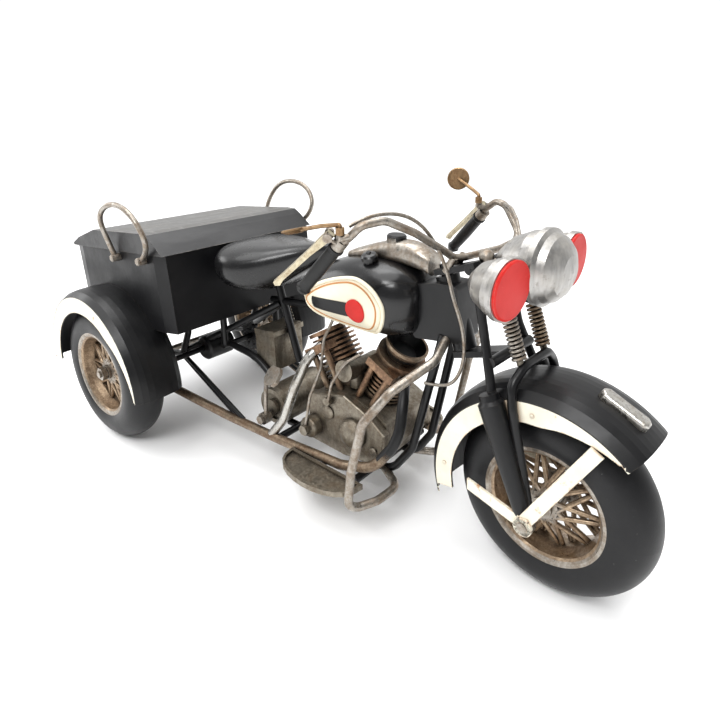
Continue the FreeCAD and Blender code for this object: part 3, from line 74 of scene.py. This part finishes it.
# ---------------------------------------------------------------- procedural materials
class Surface:
    """A principled material with short calls for the nodes that feed it."""

    def __init__(self, name):
        self.material = bpy.data.materials.new(name)
        self.material.use_nodes = True
        self.tree = self.material.node_tree
        self.shader = self.tree.nodes["Principled BSDF"]
        self.place = self.node("ShaderNodeTexCoord").outputs["Object"]

    def node(self, kind, **settings):
        made = self.tree.nodes.new(kind)
        for label, value in settings.items():
            setattr(made, label, value)
        return made

    def feed(self, socket, value):
        if isinstance(value, bpy.types.NodeSocket):
            self.tree.links.new(value, socket)
        elif isinstance(value, tuple) and len(value) == 3 and len(socket.default_value) == 4:
            socket.default_value = (*value, 1.0)
        else:
            socket.default_value = value

    def noise(self, scale, detail=3.0, roughness=0.6, stretch=None, offset=0.0):
        texture = self.node("ShaderNodeTexNoise")
        mapping = self.node("ShaderNodeMapping")
        mapping.inputs["Location"].default_value = (SEED + offset, SEED * 0.7, SEED * 1.3)
        mapping.inputs["Scale"].default_value = stretch or (1, 1, 1)
        self.feed(mapping.inputs["Vector"], self.place)
        self.feed(texture.inputs["Vector"], mapping.outputs["Vector"])
        texture.inputs["Scale"].default_value = scale
        texture.inputs["Detail"].default_value = detail
        texture.inputs["Roughness"].default_value = roughness
        return texture.outputs["Fac"]

    def ranged(self, value, low, high, to_low=0.0, to_high=1.0):
        chosen = self.node("ShaderNodeMapRange", interpolation_type="SMOOTHSTEP")
        self.feed(chosen.inputs["Value"], value)
        limits = {"From Min": low, "From Max": high, "To Min": to_low, "To Max": to_high}
        for label, number in limits.items():
            chosen.inputs[label].default_value = number
        return chosen.outputs["Result"]

    def maths(self, operation, first, second=0.0):
        clamped = operation in ("ADD", "MULTIPLY")
        made = self.node("ShaderNodeMath", operation=operation, use_clamp=clamped)
        self.feed(made.inputs[0], first)
        self.feed(made.inputs[1], second)
        return made.outputs["Value"]

    def part(self, value, share):
        return self.maths("MULTIPLY", value, share)

    def blend(self, share, first, second):
        made = self.node("ShaderNodeMix", data_type="RGBA")
        self.feed(made.inputs["Factor"], share)
        self.feed(made.inputs[6], first)
        self.feed(made.inputs[7], second)
        return made.outputs[2]

    def edges(self, radius=0.0007, low=0.02, high=0.2):
        """Mask of the convex and concave edges, from how far a bevelled normal leaves the real one."""
        rounded = self.node("ShaderNodeBevel", samples=4)
        rounded.inputs["Radius"].default_value = radius
        straight = self.node("ShaderNodeNewGeometry").outputs["Normal"]
        likeness = self.node("ShaderNodeVectorMath", operation="DOT_PRODUCT")
        self.feed(likeness.inputs[0], rounded.outputs["Normal"])
        self.feed(likeness.inputs[1], straight)
        return self.ranged(self.maths("SUBTRACT", 1.0, likeness.outputs["Value"]), low, high)

    def crevice_shade_and_dirt(self, reach=0.004, low=0.35, high=0.9):
        """Mask of the hollows, from ambient occlusion: where dirt collects and where shade falls, so
        colour laid through it is partly painted shade.
        """
        hidden = self.node("ShaderNodeAmbientOcclusion", samples=4)
        hidden.inputs["Distance"].default_value = reach
        return self.ranged(hidden.outputs["AO"], low, high, 1.0, 0.0)

    def bump(self, height, strength, distance=0.0004):
        made = self.node("ShaderNodeBump")
        made.inputs["Strength"].default_value = strength
        made.inputs["Distance"].default_value = distance
        self.feed(made.inputs["Height"], height)
        self.feed(self.shader.inputs["Normal"], made.outputs["Normal"])

    def paint(self, colour, roughness, metallic=None):
        self.feed(self.shader.inputs["Base Color"], colour)
        self.feed(self.shader.inputs["Roughness"], roughness)
        if metallic is not None:
            self.feed(self.shader.inputs["Metallic"], metallic)


def scaled(colour, factor, lift=0.0):
    return tuple(min(1, channel * factor + lift) for channel in colour)


def aged_metal(name, clean, stain, dirt_and_shade, gloss=(0.24, 0.5), patch=150.0, cover=(0.46, 0.68), pits=0.25):
    """Bare metal with patches of patina, dirt specks, corners darkened with dirt and painted shade,
    brighter edges and fine scratches.
    """
    look = Surface(name)
    coarse = look.part(look.noise(patch, 5, 0.66), 0.6)
    fine = look.part(look.noise(patch * 4.5, 4, 0.7, offset=8), 0.4)
    patches = look.ranged(look.maths("ADD", coarse, fine), *cover)
    specks = look.ranged(look.noise(patch * 9, 4, 0.7, offset=3), 0.56, 0.72)
    streaks = look.noise(620, 3, 0.5, (1, 1, 0.16), 5)
    colour = look.blend(look.ranged(streaks, 0.3, 0.75), scaled(clean, 0.72), clean)
    colour = look.blend(look.part(patches, 0.85), colour, stain)
    colour = look.blend(look.part(specks, 0.5), colour, dirt_and_shade)
    # hollows darkened towards the dirt colour: partly dirt, partly painted shade
    colour = look.blend(look.crevice_shade_and_dirt(), colour, dirt_and_shade)
    colour = look.blend(look.part(look.edges(0.0005), 0.65), colour, scaled(clean, 1.2))
    rough = look.maths("ADD", look.ranged(streaks, 0.25, 0.8, *gloss), look.part(patches, 0.18))
    look.paint(colour, rough, look.ranged(patches, 0, 1, 0.97, 0.72))
    grain = look.maths("ADD", look.part(look.noise(2300, 4), 0.5), look.part(patches, pits))
    look.bump(grain, 0.35, 0.00025)
    return look.material


def enamel(name, tint, worn, gloss=(0.3, 0.44), wear=0.5, stain=None, coat=0.0,
           rust_cover=(0.6, 0.72), sheen=0.4):
    """Brushed enamel: uneven gloss, specks, chipped edges and, where stain is given, rust blooms."""
    look = Surface(name)
    look.shader.inputs["Specular IOR Level"].default_value = sheen
    look.shader.inputs["Coat Weight"].default_value = coat
    look.shader.inputs["Coat Roughness"].default_value = 0.12
    broad = look.noise(45, 5, 0.6)
    fine = look.noise(1500, 3, 0.6, offset=2)
    colour = look.blend(look.ranged(broad, 0.35, 0.7), tint, scaled(tint, 0.8, 0.003))
    specks = look.ranged(look.noise(750, 2, 0.5, offset=9), 0.73, 0.79)
    broken = look.ranged(look.noise(420, 5, 0.7, offset=4), 0.44, 0.6)
    chips = look.maths("MULTIPLY", look.edges(0.0006), broken)
    colour = look.blend(look.part(specks, 0.35 * wear), colour, worn)
    if stain:
        blooms = look.part(look.ranged(look.noise(130, 6, 0.7, offset=6), *rust_cover), 0.8)
        creeping = look.ranged(look.noise(240, 4, 0.6), 0.42, 0.62)
        brim = look.maths("MULTIPLY", look.edges(0.0012, 0.01, 0.1), creeping)
        colour = look.blend(blooms, colour, stain)
        colour = look.blend(look.part(brim, 0.75), colour, stain)
        # rust darkened further in the hollows: partly rust, partly painted shade
        colour = look.blend(look.part(look.crevice_shade_and_dirt(0.003), 0.6), colour, scaled(stain, 0.6))
    colour = look.blend(look.part(chips, wear), colour, worn)
    look.paint(colour, look.maths("ADD", look.ranged(broad, 0.3, 0.7, *gloss), look.part(chips, 0.15)))
    waves = look.maths("ADD", look.part(look.noise(95, 2), 0.85), look.part(fine, 0.07))
    look.bump(waves, 0.3, 0.0006)
    return look.material


steel = aged_metal("aged_steel", (0.43, 0.40, 0.355), (0.17, 0.115, 0.07), (0.035, 0.026, 0.019),
                   (0.24, 0.46), 130, (0.38, 0.66))
bright_steel = aged_metal("bright_steel", (0.56, 0.545, 0.51), (0.25, 0.21, 0.16), (0.07, 0.055, 0.04),
                          (0.2, 0.4), 110, (0.44, 0.72), 0.1)
bronze = aged_metal("bronze_patina", (0.36, 0.285, 0.205), (0.12, 0.068, 0.038), (0.014, 0.010, 0.008),
                    (0.26, 0.5), 150, (0.36, 0.62), 0.3)
copper = aged_metal("copper_patina", (0.36, 0.225, 0.14), (0.09, 0.048, 0.028), (0.012, 0.009, 0.007),
                    (0.24, 0.46), 190, (0.36, 0.64), 0.3)
spoke_metal = aged_metal("spoke_metal", (0.46, 0.35, 0.24), (0.14, 0.085, 0.05), (0.02, 0.015, 0.011),
                         (0.24, 0.44), 210, (0.38, 0.64), 0.2)
gunmetal = aged_metal("gunmetal", (0.30, 0.27, 0.22), (0.105, 0.076, 0.047), (0.014, 0.011, 0.009),
                      (0.28, 0.5), 120, (0.38, 0.66), 0.3)
brass = aged_metal("dull_brass", (0.36, 0.235, 0.125), (0.17, 0.085, 0.04), (0.04, 0.026, 0.014),
                   (0.28, 0.5), 260, (0.42, 0.66), 0.35)
pale_brass = aged_metal("pale_brass", (0.60, 0.54, 0.39), (0.30, 0.21, 0.12), (0.06, 0.045, 0.03))
chrome = aged_metal("aged_chrome", (0.46, 0.45, 0.435), (0.36, 0.335, 0.295), (0.16, 0.14, 0.12),
                    (0.26, 0.38), 40, (0.42, 0.7), 0.02)
black = enamel("black_enamel", (0.004, 0.004, 0.0046), (0.09, 0.075, 0.06), sheen=0.3)
black_panel = enamel("black_panel", (0.0032, 0.0032, 0.004), (0.10, 0.09, 0.08), (0.34, 0.5), sheen=0.22)
gloss_black = enamel("gloss_black", (0.004, 0.004, 0.0045), (0.09, 0.08, 0.07), (0.2, 0.32), 0.35,
                     coat=0.15)
cream = enamel("cream_enamel", (0.80, 0.765, 0.63), (0.20, 0.10, 0.045), (0.34, 0.5), 0.7,
               (0.42, 0.17, 0.045))
panel_cream = enamel("panel_cream", (0.82, 0.765, 0.60), (0.25, 0.13, 0.06), (0.3, 0.42), 0.25,
                     (0.62, 0.42, 0.2), rust_cover=(0.66, 0.8))
red = enamel("red_enamel", (0.60, 0.018, 0.014), (0.62, 0.30, 0.26), (0.4, 0.55), 0.6, sheen=0.25)
rust_line = enamel("rust_line", (0.52, 0.23, 0.075), (0.2, 0.08, 0.03), (0.4, 0.6))


def rubber(name, tint, gloss, grain):
    """Smooth moulded rubber with fine grain, dust and a few pale marks."""
    look = Surface(name)
    look.shader.inputs["Specular IOR Level"].default_value = 0.3
    broad = look.noise(28, 5, 0.6)
    fine = look.noise(grain, 4, 0.65, offset=4)
    dusty = look.ranged(look.noise(120, 6, 0.7, offset=7), 0.5, 0.78)
    colour = look.blend(look.part(dusty, 0.4), tint, scaled(tint, 2.6, 0.004))
    marks = look.ranged(look.noise(420, 2, 0.5, offset=11), 0.74, 0.79)
    colour = look.blend(look.part(marks, 0.25), colour, (0.2, 0.2, 0.19))
    look.paint(colour, look.ranged(broad, 0.3, 0.7, *gloss))
    look.bump(look.maths("ADD", look.part(fine, 0.3), look.part(broad, 0.5)), 0.25, 0.0005)
    return look.material


tyre = rubber("tyre_rubber", (0.0052, 0.0052, 0.006), (0.36, 0.52), 1400)
grip_rubber = rubber("grip_rubber", (0.011, 0.011, 0.011), (0.38, 0.55), 1900)


def grey_top(name):
    """Black sheet metal whose upward faces are a lighter dull grey, with scuffs."""
    look = Surface(name)
    facing = look.node("ShaderNodeSeparateXYZ")
    look.feed(facing.inputs[0], look.node("ShaderNodeTexCoord").outputs["Normal"])
    upward = look.ranged(facing.outputs["Z"], 0.93, 0.985)
    top_patches = look.ranged(look.noise(60, 7, 0.68, (1, 0.35, 1)), 0.34, 0.66)
    scuffs = look.ranged(look.noise(330, 5, 0.75, (0.3, 1, 1), 3), 0.5, 0.7)
    colour = look.blend(top_patches, (0.06, 0.059, 0.057), (0.125, 0.12, 0.112))
    colour = look.blend(look.part(scuffs, 0.5), colour, (0.30, 0.29, 0.27))
    # the upward faces take the lighter grey, all other faces stay near black
    colour = look.blend(upward, (0.0036, 0.0036, 0.0045), colour)
    broken = look.ranged(look.noise(380, 5, 0.7), 0.42, 0.6)
    chips = look.maths("MULTIPLY", look.edges(0.0007), broken)
    colour = look.blend(look.part(chips, 0.5), colour, (0.2, 0.18, 0.15))
    look.paint(colour, look.ranged(top_patches, 0, 1, 0.36, 0.48), look.part(upward, 0.35))
    waves = look.maths("ADD", look.part(look.noise(70, 3), 0.8), look.part(scuffs, 0.1))
    look.bump(waves, 0.3, 0.0006)
    return look.material


lid_paint = grey_top("grey_top_lid")


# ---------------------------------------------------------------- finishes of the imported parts
def dress(material, *names):
    """Gives whole parts one finish."""
    for name in names:
        node = nodes[name]
        node.data.materials.clear()
        node.data.materials.append(material)


def touch_up(name, material, wanted):
    """Gives the faces of a part whose centre passes the test their own finish."""
    mesh = nodes[name].data
    mesh.materials.append(material)
    slot = len(mesh.materials) - 1
    for face in mesh.polygons:
        if wanted(face.center, face.normal):
            face.material_index = slot


dress(black, *nodes)
dress(tyre, "front_tyre", "rear_tyre_right", "rear_tyre_left")
dress(steel, "front_axle", "rear_axle", "crash_bar_right", "crash_bar_left", "grab_hoop_right",
      "grab_hoop_left", "handlebar", "dash_console", "fork_spring_right", "lamp_bracket", "engine_lines",
      "foot_pedal", "front_wheel_rim", "rear_wheel_rim_right", "rear_wheel_rim_left")
dress(bright_steel, "rear_exhaust", "fender_lamp")
dress(gunmetal, "footboard_right", "footboard_left", "timing_cover", "crankcase", "gearbox", "oil_tank",
      "carburettor")
dress(bronze, "cylinder_rear", "cylinder_front", "fork_spring_left")
dress(chrome, "headlamp", "side_lamp_right", "side_lamp_left")
dress(brass, "mirror_right", "mirror_left")
dress(pale_brass, "lever_right", "lever_left")
dress(cream, "fender_strap_right", "fender_strap_left")
dress(grip_rubber, "grip_right", "grip_left")
dress(gloss_black, "fuel_tank", "saddle")
dress(black_panel, "cargo_box")
dress(lid_paint, "cargo_lid")

WHEELS = {"front_wheel_rim": "front_spin", "rear_wheel_rim_right": "rear_spin_right",
          "rear_wheel_rim_left": "rear_spin_left"}


def radius_of(point, joint):
    """Distance of a point from a joint's axis."""
    offset = point - Vector(joints[joint]["pos_m"])
    axis = Vector(joints[joint]["axis"])
    return (offset - axis * offset.dot(axis)).length


HUB_RADIUS, SPOKE_END, RIM_LIP = 0.009, 0.0278, 0.0322
SKIRT_EDGE_FRONT, SKIRT_EDGE_REAR = 0.0569, 0.0576
SIDEWAYS = 0.9
for rim, spin in WHEELS.items():
    touch_up(rim, spoke_metal, lambda c, n, spin=spin: HUB_RADIUS < radius_of(c, spin) < SPOKE_END)
    touch_up(rim, bright_steel, lambda c, n, spin=spin: radius_of(c, spin) > RIM_LIP)
touch_up("front_fender", cream,
         lambda c, n: radius_of(c, "front_spin") < SKIRT_EDGE_FRONT and abs(n.y) > SIDEWAYS)
LENS_BASE = 0.00125
for side_name, sign in SIDES:
    spin = "rear_spin_" + side_name
    touch_up("rear_fender_" + side_name, cream,
             lambda c, n, spin=spin: radius_of(c, spin) < SKIRT_EDGE_REAR and abs(n.y) > SIDEWAYS)
    lamp_axis = (STEER_TURN @ Vector((1, sign * 0.06, -0.02))).normalized()
    lamp_seat = steered(at(281.5, sign * 28.5, 160))
    touch_up("side_lamp_" + side_name, red,
             lambda c, n, seat=lamp_seat, axis=lamp_axis: (c - seat).dot(axis) > LENS_BASE)

DIAL_CENTRE, DIAL_REACH, DIAL_BASE_Z = at(198, 0, 164.4), 0.0062, 0.1628
touch_up("dash_console", black, lambda c, n: c.z > DIAL_BASE_Z and (c - DIAL_CENTRE).length < DIAL_REACH)
touch_up("cylinder_rear", copper, lambda c, n: 0.084 < c.z < 0.112)
touch_up("cylinder_front", copper, lambda c, n: 0.076 < c.z < 0.094)
BARREL_LEAN, BARREL_REACH = math.radians(27), 0.056
BOWL_FLOOR, BOWL_INNER_RADIUS = 0.0015, 0.0114
bowl_axis = Vector((math.sin(BARREL_LEAN), 0, math.cos(BARREL_LEAN)))
bowl_seat = at(178.0, 0, 47.0) + bowl_axis * BARREL_REACH


def inside_bowl(centre, normal):
    offset = centre - bowl_seat
    return offset.dot(bowl_axis) > BOWL_FLOOR and offset.cross(bowl_axis).length < BOWL_INNER_RADIUS


touch_up("cylinder_front", black, inside_bowl)
for side_name, sign in SIDES:
    touch_up("lower_rail_" + side_name, bronze, lambda c, n: c.x > -0.115 and c.z < 0.05)


# ---------------------------------------------------------------- pieces made here
def add(name, mesh, material, body, smooth=True):
    """A visible piece that moves with a body and takes the finish passed to it."""
    piece = bpy.data.objects.new(name, mesh)
    bpy.context.scene.collection.objects.link(piece)
    mesh.materials.append(material)
    for face in mesh.polygons:
        face.use_smooth = smooth
    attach(piece, body)
    return piece


def surface_of(name):
    return BVHTree.FromObject(nodes[name], bpy.context.evaluated_depsgraph_get())


def smooth_loop(corners, steps):
    """Closed Catmull-Rom loop through the corners, as plane points."""
    loop = []
    count = len(corners)
    for i in range(count):
        before, first, second, after = (Vector(corners[(i + k) % count]) for k in (-1, 0, 1, 2))
        bend = 2 * before - 5 * first + 4 * second - after
        swing = 3 * first - before - 3 * second + after
        for step in range(steps):
            t = step / steps
            loop.append(0.5 * (2 * first + (second - before) * t + bend * t * t + swing * t ** 3))
    return loop


def on_tank(point, sign, tree, lift):
    """Drops a (station, z) point onto the tank's side."""
    start = at(point[0], sign * 60, point[1])
    spot, normal, _, _ = tree.ray_cast(start, Vector((0, -sign, 0)))
    if spot is None:
        spot, normal, _, _ = tree.find_nearest(at(point[0], sign * 20, point[1]))
    if normal.y * sign < 0:
        normal = -normal
    return spot + normal * lift


def shrunk(loop, share):
    """The loop drawn in towards its own middle."""
    middle = sum(loop, Vector((0, 0))) / len(loop)
    return [middle + (point - middle) * share for point in loop]


def decal(name, loop, sign, lift, thickness, material):
    """Closed thin plate that follows the tank inside a loop."""
    middle = sum(loop, Vector((0, 0))) / len(loop)
    mesh = bpy.data.meshes.new(name)
    form = bmesh.new()
    count = len(loop)
    layers = []
    for height in (lift, lift - thickness):
        rows = []
        for ring in range(DECAL_RINGS, 0, -1):
            points = shrunk(loop, ring / DECAL_RINGS)
            rows.append([form.verts.new(on_tank(point, sign, tank_tree, height)) for point in points])
        layers.append((rows, form.verts.new(on_tank(middle, sign, tank_tree, height))))
    for rows, centre in layers:
        for outer, inner in zip(rows, rows[1:]):
            for i in range(count):
                form.faces.new((outer[i], outer[(i + 1) % count], inner[(i + 1) % count], inner[i]))
        for i in range(count):
            form.faces.new((rows[-1][i], rows[-1][(i + 1) % count], centre))
    top, bottom = layers[0][0][0], layers[1][0][0]
    for i in range(count):
        form.faces.new((top[i], bottom[i], bottom[(i + 1) % count], top[(i + 1) % count]))
    bmesh.ops.recalc_face_normals(form, faces=form.faces)
    form.to_mesh(mesh)
    form.free()
    return add(name, mesh, material, "chassis")


def cord_mesh(name, points, radius, closed=False, order=4, resolution=6):
    """Round wire along smooth points, as a mesh."""
    curve = bpy.data.curves.new(name, "CURVE")
    curve.dimensions = "3D"
    curve.bevel_depth = radius
    curve.bevel_resolution = 4
    curve.resolution_u = resolution
    curve.use_fill_caps = True
    spline = curve.splines.new("NURBS")
    spline.points.add(len(points) - 1)
    for slot, point in zip(spline.points, points):
        slot.co = (*point, 1)
    spline.order_u = order
    spline.use_cyclic_u = closed
    spline.use_endpoint_u = not closed
    holder = bpy.data.objects.new(name + "_path", curve)
    bpy.context.scene.collection.objects.link(holder)
    bpy.context.view_layer.update()
    mesh = bpy.data.meshes.new_from_object(holder.evaluated_get(bpy.context.evaluated_depsgraph_get()))
    mesh.name = name
    bpy.data.objects.remove(holder)
    bpy.data.curves.remove(curve)
    return mesh


# painted teardrop panel, bar and disc on both sides of the tank, as (station, z) in millimetres
DECAL_RINGS = 9
TEARDROP = [(141.8, 122.0), (151, 129.6), (165, 137.4), (179, 142.2), (190, 143.4), (200.5, 139.8),
            (206.6, 132), (206.0, 122.6), (200.5, 115.8), (192, 113.4), (177, 113.6), (161, 115.4),
            (148.5, 118.2)]
BAR = [(156, 121.8), (160, 120.9), (182, 121.9), (184, 123), (184, 129), (182, 129.8), (160, 127.8),
       (156, 126.8)]
DISC_TURNS = [math.tau * i / 12 for i in range(12)]
DISC = [(189.5 + 6.4 * math.cos(turn), 126.4 + 6.6 * math.sin(turn)) for turn in DISC_TURNS]
tank_tree = surface_of("fuel_tank")
teardrop = smooth_loop(TEARDROP, 7)
pinstripe = shrunk(teardrop, 0.86)
for side_name, sign in SIDES:
    decal("tank_panel_" + side_name, teardrop, sign, 0.00035, 0.0008, panel_cream)
    decal("tank_bar_" + side_name, smooth_loop(BAR, 4), sign, 0.0007, 0.0007, black)
    decal("tank_disc_" + side_name, smooth_loop(DISC, 4), sign, 0.0009, 0.0009, red)
    border = cord_mesh("panel_border_" + side_name,
                       [on_tank(point, sign, tank_tree, 0.0003) for point in teardrop], 0.0011, True)
    add("panel_border_" + side_name, border, panel_cream, "chassis")
    line = cord_mesh("panel_line_" + side_name,
                     [on_tank(point, sign, tank_tree, 0.00025) for point in pinstripe], 0.0005, True)
    add("panel_line_" + side_name, line, rust_line, "chassis")

# the control cable runs from the handlebar past the steering neck to the engine
CABLE = [at(216.5, -55, 181.6), at(219, -50.5, 184), at(223, -42, 186), at(227, -32, 184.8),
         at(230, -23, 179.8), at(233, -16.5, 171.5), at(237.5, -14.2, 162), at(241.5, -14, 152.5),
         at(244.4, -14, 143), at(248, -14.2, 131), at(250.6, -14, 119), at(249.4, -13.4, 107),
         at(245, -12.8, 97.5), at(237, -11.6, 92), at(226, -10.4, 90)]
UPPER_POINTS = 9
route = [steered(p) if i < UPPER_POINTS else p for i, p in enumerate(CABLE)]
cable_mesh = cord_mesh("control_cable", route, 0.0009, order=3, resolution=10)
cable = bpy.data.objects.new("control_cable", cable_mesh)
bpy.context.scene.collection.objects.link(cable)
cable.data.materials.append(steel)
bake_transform(cable)
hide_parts("cable_upper", "cable_lower")

# coil springs of the fork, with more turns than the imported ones
COILS, STEPS_A_COIL, COIL_RADIUS, WIRE, CORE_RADIUS = 11, 12, 0.0030, 0.00075, 0.0017
for side_name, sign in SIDES:
    foot, top = steered(at(280, sign * 11, 121)), steered(at(272.6, sign * 11, 141))
    axis = (top - foot).normalized()
    across = axis.orthogonal().normalized()
    sideways = axis.cross(across)
    turns = []
    for step in range(COILS * STEPS_A_COIL + 1):
        angle = math.tau * step / STEPS_A_COIL
        around = across * math.cos(angle) + sideways * math.sin(angle)
        turns.append(foot + (top - foot) * (step / (COILS * STEPS_A_COIL)) + around * COIL_RADIUS)
    coil_mesh = cord_mesh("fork_coil_" + side_name, turns, WIRE, resolution=3)
    metal = steel if side_name == "right" else bronze
    coil = add("fork_coil_" + side_name, coil_mesh, metal, "steering")
    core_line = [foot - axis * 0.0024, (foot + top) / 2, top + axis * 0.001]
    core_mesh = cord_mesh("fork_spring_core_" + side_name, core_line, CORE_RADIUS)
    add("fork_spring_core_" + side_name, core_mesh, gunmetal, "steering")
    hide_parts("fork_spring_" + side_name)


def rounded_bolt(name, centre, direction, radius, height, material, body, sides=6):
    """Hex bolt or round rivet head with softened edges, standing on a surface."""
    form = bmesh.new()
    bmesh.ops.create_cone(form, segments=sides, radius1=radius, radius2=radius * 0.92, depth=height,
                          cap_ends=True)
    bmesh.ops.bevel(form, geom=form.edges[:], offset=radius * 0.16, segments=2, affect="EDGES")
    turn = direction.to_track_quat("Z", "Y").to_matrix().to_4x4()
    form.transform(Matrix.Translation(centre + direction.normalized() * height / 2) @ turn)
    mesh = bpy.data.meshes.new(name)
    form.to_mesh(mesh)
    form.free()
    return add(name, mesh, material, body, smooth=sides > 6)


def rivet(name, origin, direction, tree):
    """A small cream rivet on the steering part that a ray meets."""
    spot, normal, _, _ = tree.ray_cast(origin, direction)
    if spot is None:
        return
    if normal.dot(direction) > 0:
        normal = -normal
    rounded_bolt(name, spot - normal * 0.0002, normal, 0.0011, 0.0009, cream, "steering",
                 sides=14)


# grab hoops: one smooth bent rod each, with two hex bolts
for side_name, sign in SIDES:
    foot_y, top_y = sign * 65.5, sign * 73.5
    bend = [at(14, foot_y, 134.8), at(12, sign * 66.5, 141), at(11.5, sign * 69.5, 152),
            at(15.5, top_y, 163.5), at(26, top_y, 171.6), at(40, top_y, 174.4), at(54, top_y, 171.5),
            at(63, sign * 72.5, 163), at(64, sign * 69.5, 152), at(56, sign * 66.5, 143.6),
            at(47.5, foot_y, 138)]
    hoop_mesh = cord_mesh("hoop_bar_" + side_name, bend, 0.0017, resolution=10)
    hoop = add("hoop_bar_" + side_name, hoop_mesh, steel, "chassis")
    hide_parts("grab_hoop_" + side_name)
    for station, z in ((14, 134.6), (47, 137.6)):
        rounded_bolt("hoop_bolt_%s_%d" % (side_name, station), at(station, sign * 62.4, z),
                     Vector((0, sign, 0)), 0.0029, 0.0062, steel, "chassis")

RIVET_CIRCLE = 0.0515
fender_tree = surface_of("front_fender")
front_centre = Vector(joints["front_spin"]["pos_m"])
front_axis = Vector(joints["front_spin"]["axis"])
for side_name, sign in SIDES:
    for label, degrees in (("front", 58), ("middle", 96), ("rear", 176)):
        angle = math.radians(degrees)
        arm = Vector((math.cos(angle), 0, math.sin(angle))) * RIVET_CIRCLE
        origin = front_centre + STEER_TURN @ arm + front_axis * sign * 0.04
        rivet("fender_rivet_%s_%s" % (label, side_name), origin, front_axis * -sign, fender_tree)

# ---------------------------------------------------------------- floor, light and camera
floor_mesh = bpy.data.meshes.new("floor")
floor_mesh.from_pydata([(-6, -6, 0), (6, -6, 0), (6, 6, 0), (-6, 6, 0)], [], [(0, 1, 2, 3)])
floor = bpy.data.objects.new("floor", floor_mesh)
bpy.context.scene.collection.objects.link(floor)
floor_look = Surface("floor_white")
floor_look.paint((0.92, 0.92, 0.92), 0.9)
floor_mesh.materials.append(floor_look.material)

scene = bpy.context.scene
scene.view_settings.view_transform = "Standard"
world = bpy.data.worlds.new("studio")
scene.world = world
world.use_nodes = True
sky = world.node_tree
direction = sky.nodes.new("ShaderNodeTexCoord")
across = sky.nodes.new("ShaderNodeVectorMath")
across.operation = "DOT_PRODUCT"
across.inputs[1].default_value = (-0.62, 0.78, 0.1)   # towards the studio's white wall
shade = sky.nodes.new("ShaderNodeMapRange")
shade.interpolation_type = "SMOOTHSTEP"
for label, number in (("From Min", -0.5), ("From Max", 0.35), ("To Min", 0.42), ("To Max", 1.06)):
    shade.inputs[label].default_value = number
sky.links.new(direction.outputs["Generated"], across.inputs[0])
sky.links.new(across.outputs["Value"], shade.inputs["Value"])
sky.links.new(shade.outputs["Result"], sky.nodes["Background"].inputs["Strength"])
sky.nodes["Background"].inputs["Color"].default_value = (1, 1, 1, 1)
sun = bpy.data.objects.new("overhead", bpy.data.lights.new("overhead", "SUN"))
sun.data.energy = 1.5
sun.data.angle = math.radians(50)
sun.rotation_euler = (math.radians(12), math.radians(-10), 0)
scene.collection.objects.link(sun)


def softbox(name, place, target, size, power):
    light = bpy.data.lights.new(name, "AREA")
    light.shape = "RECTANGLE"
    light.size, light.size_y = size
    light.energy = power
    lamp = bpy.data.objects.new(name, light)
    lamp.location = place
    lamp.rotation_euler = (Vector(target) - Vector(place)).to_track_quat("-Z", "Y").to_euler()
    bpy.context.scene.collection.objects.link(lamp)


softbox("key_light", (0.25, -0.75, 0.95), (0, 0, 0.08), (0.6, 0.4), 9)
softbox("top_light", (-0.25, 0.25, 1.1), (0, 0, 0.05), (0.9, 0.6), 6)
softbox("rear_light", (-0.95, -0.35, 0.5), (0, 0, 0.1), (0.5, 0.5), 3)

AZIMUTH, ELEVATION, ROLL = math.radians(39.64), math.radians(18.67), math.radians(-0.01)
level = math.cos(ELEVATION)
back = Vector((math.sin(AZIMUTH) * level, -math.cos(AZIMUTH) * level, math.sin(ELEVATION)))
right = Vector((math.cos(AZIMUTH), math.sin(AZIMUTH), 0))
up = back.cross(right)
camera = bpy.data.objects.new("camera", bpy.data.cameras.new("camera"))
camera.data.sensor_width = 36
camera.data.lens = 27.83
camera.data.shift_x = -0.0074
camera.data.shift_y = -0.0917
camera.data.clip_start = 0.01
turn = Matrix((right, up, back)).transposed() @ Matrix.Rotation(ROLL, 3, "Z")
camera.matrix_world = Matrix.Translation((0.228657, -0.236083, 0.230292)) @ turn.to_4x4()
bpy.context.scene.collection.objects.link(camera)
bpy.context.scene.camera = camera
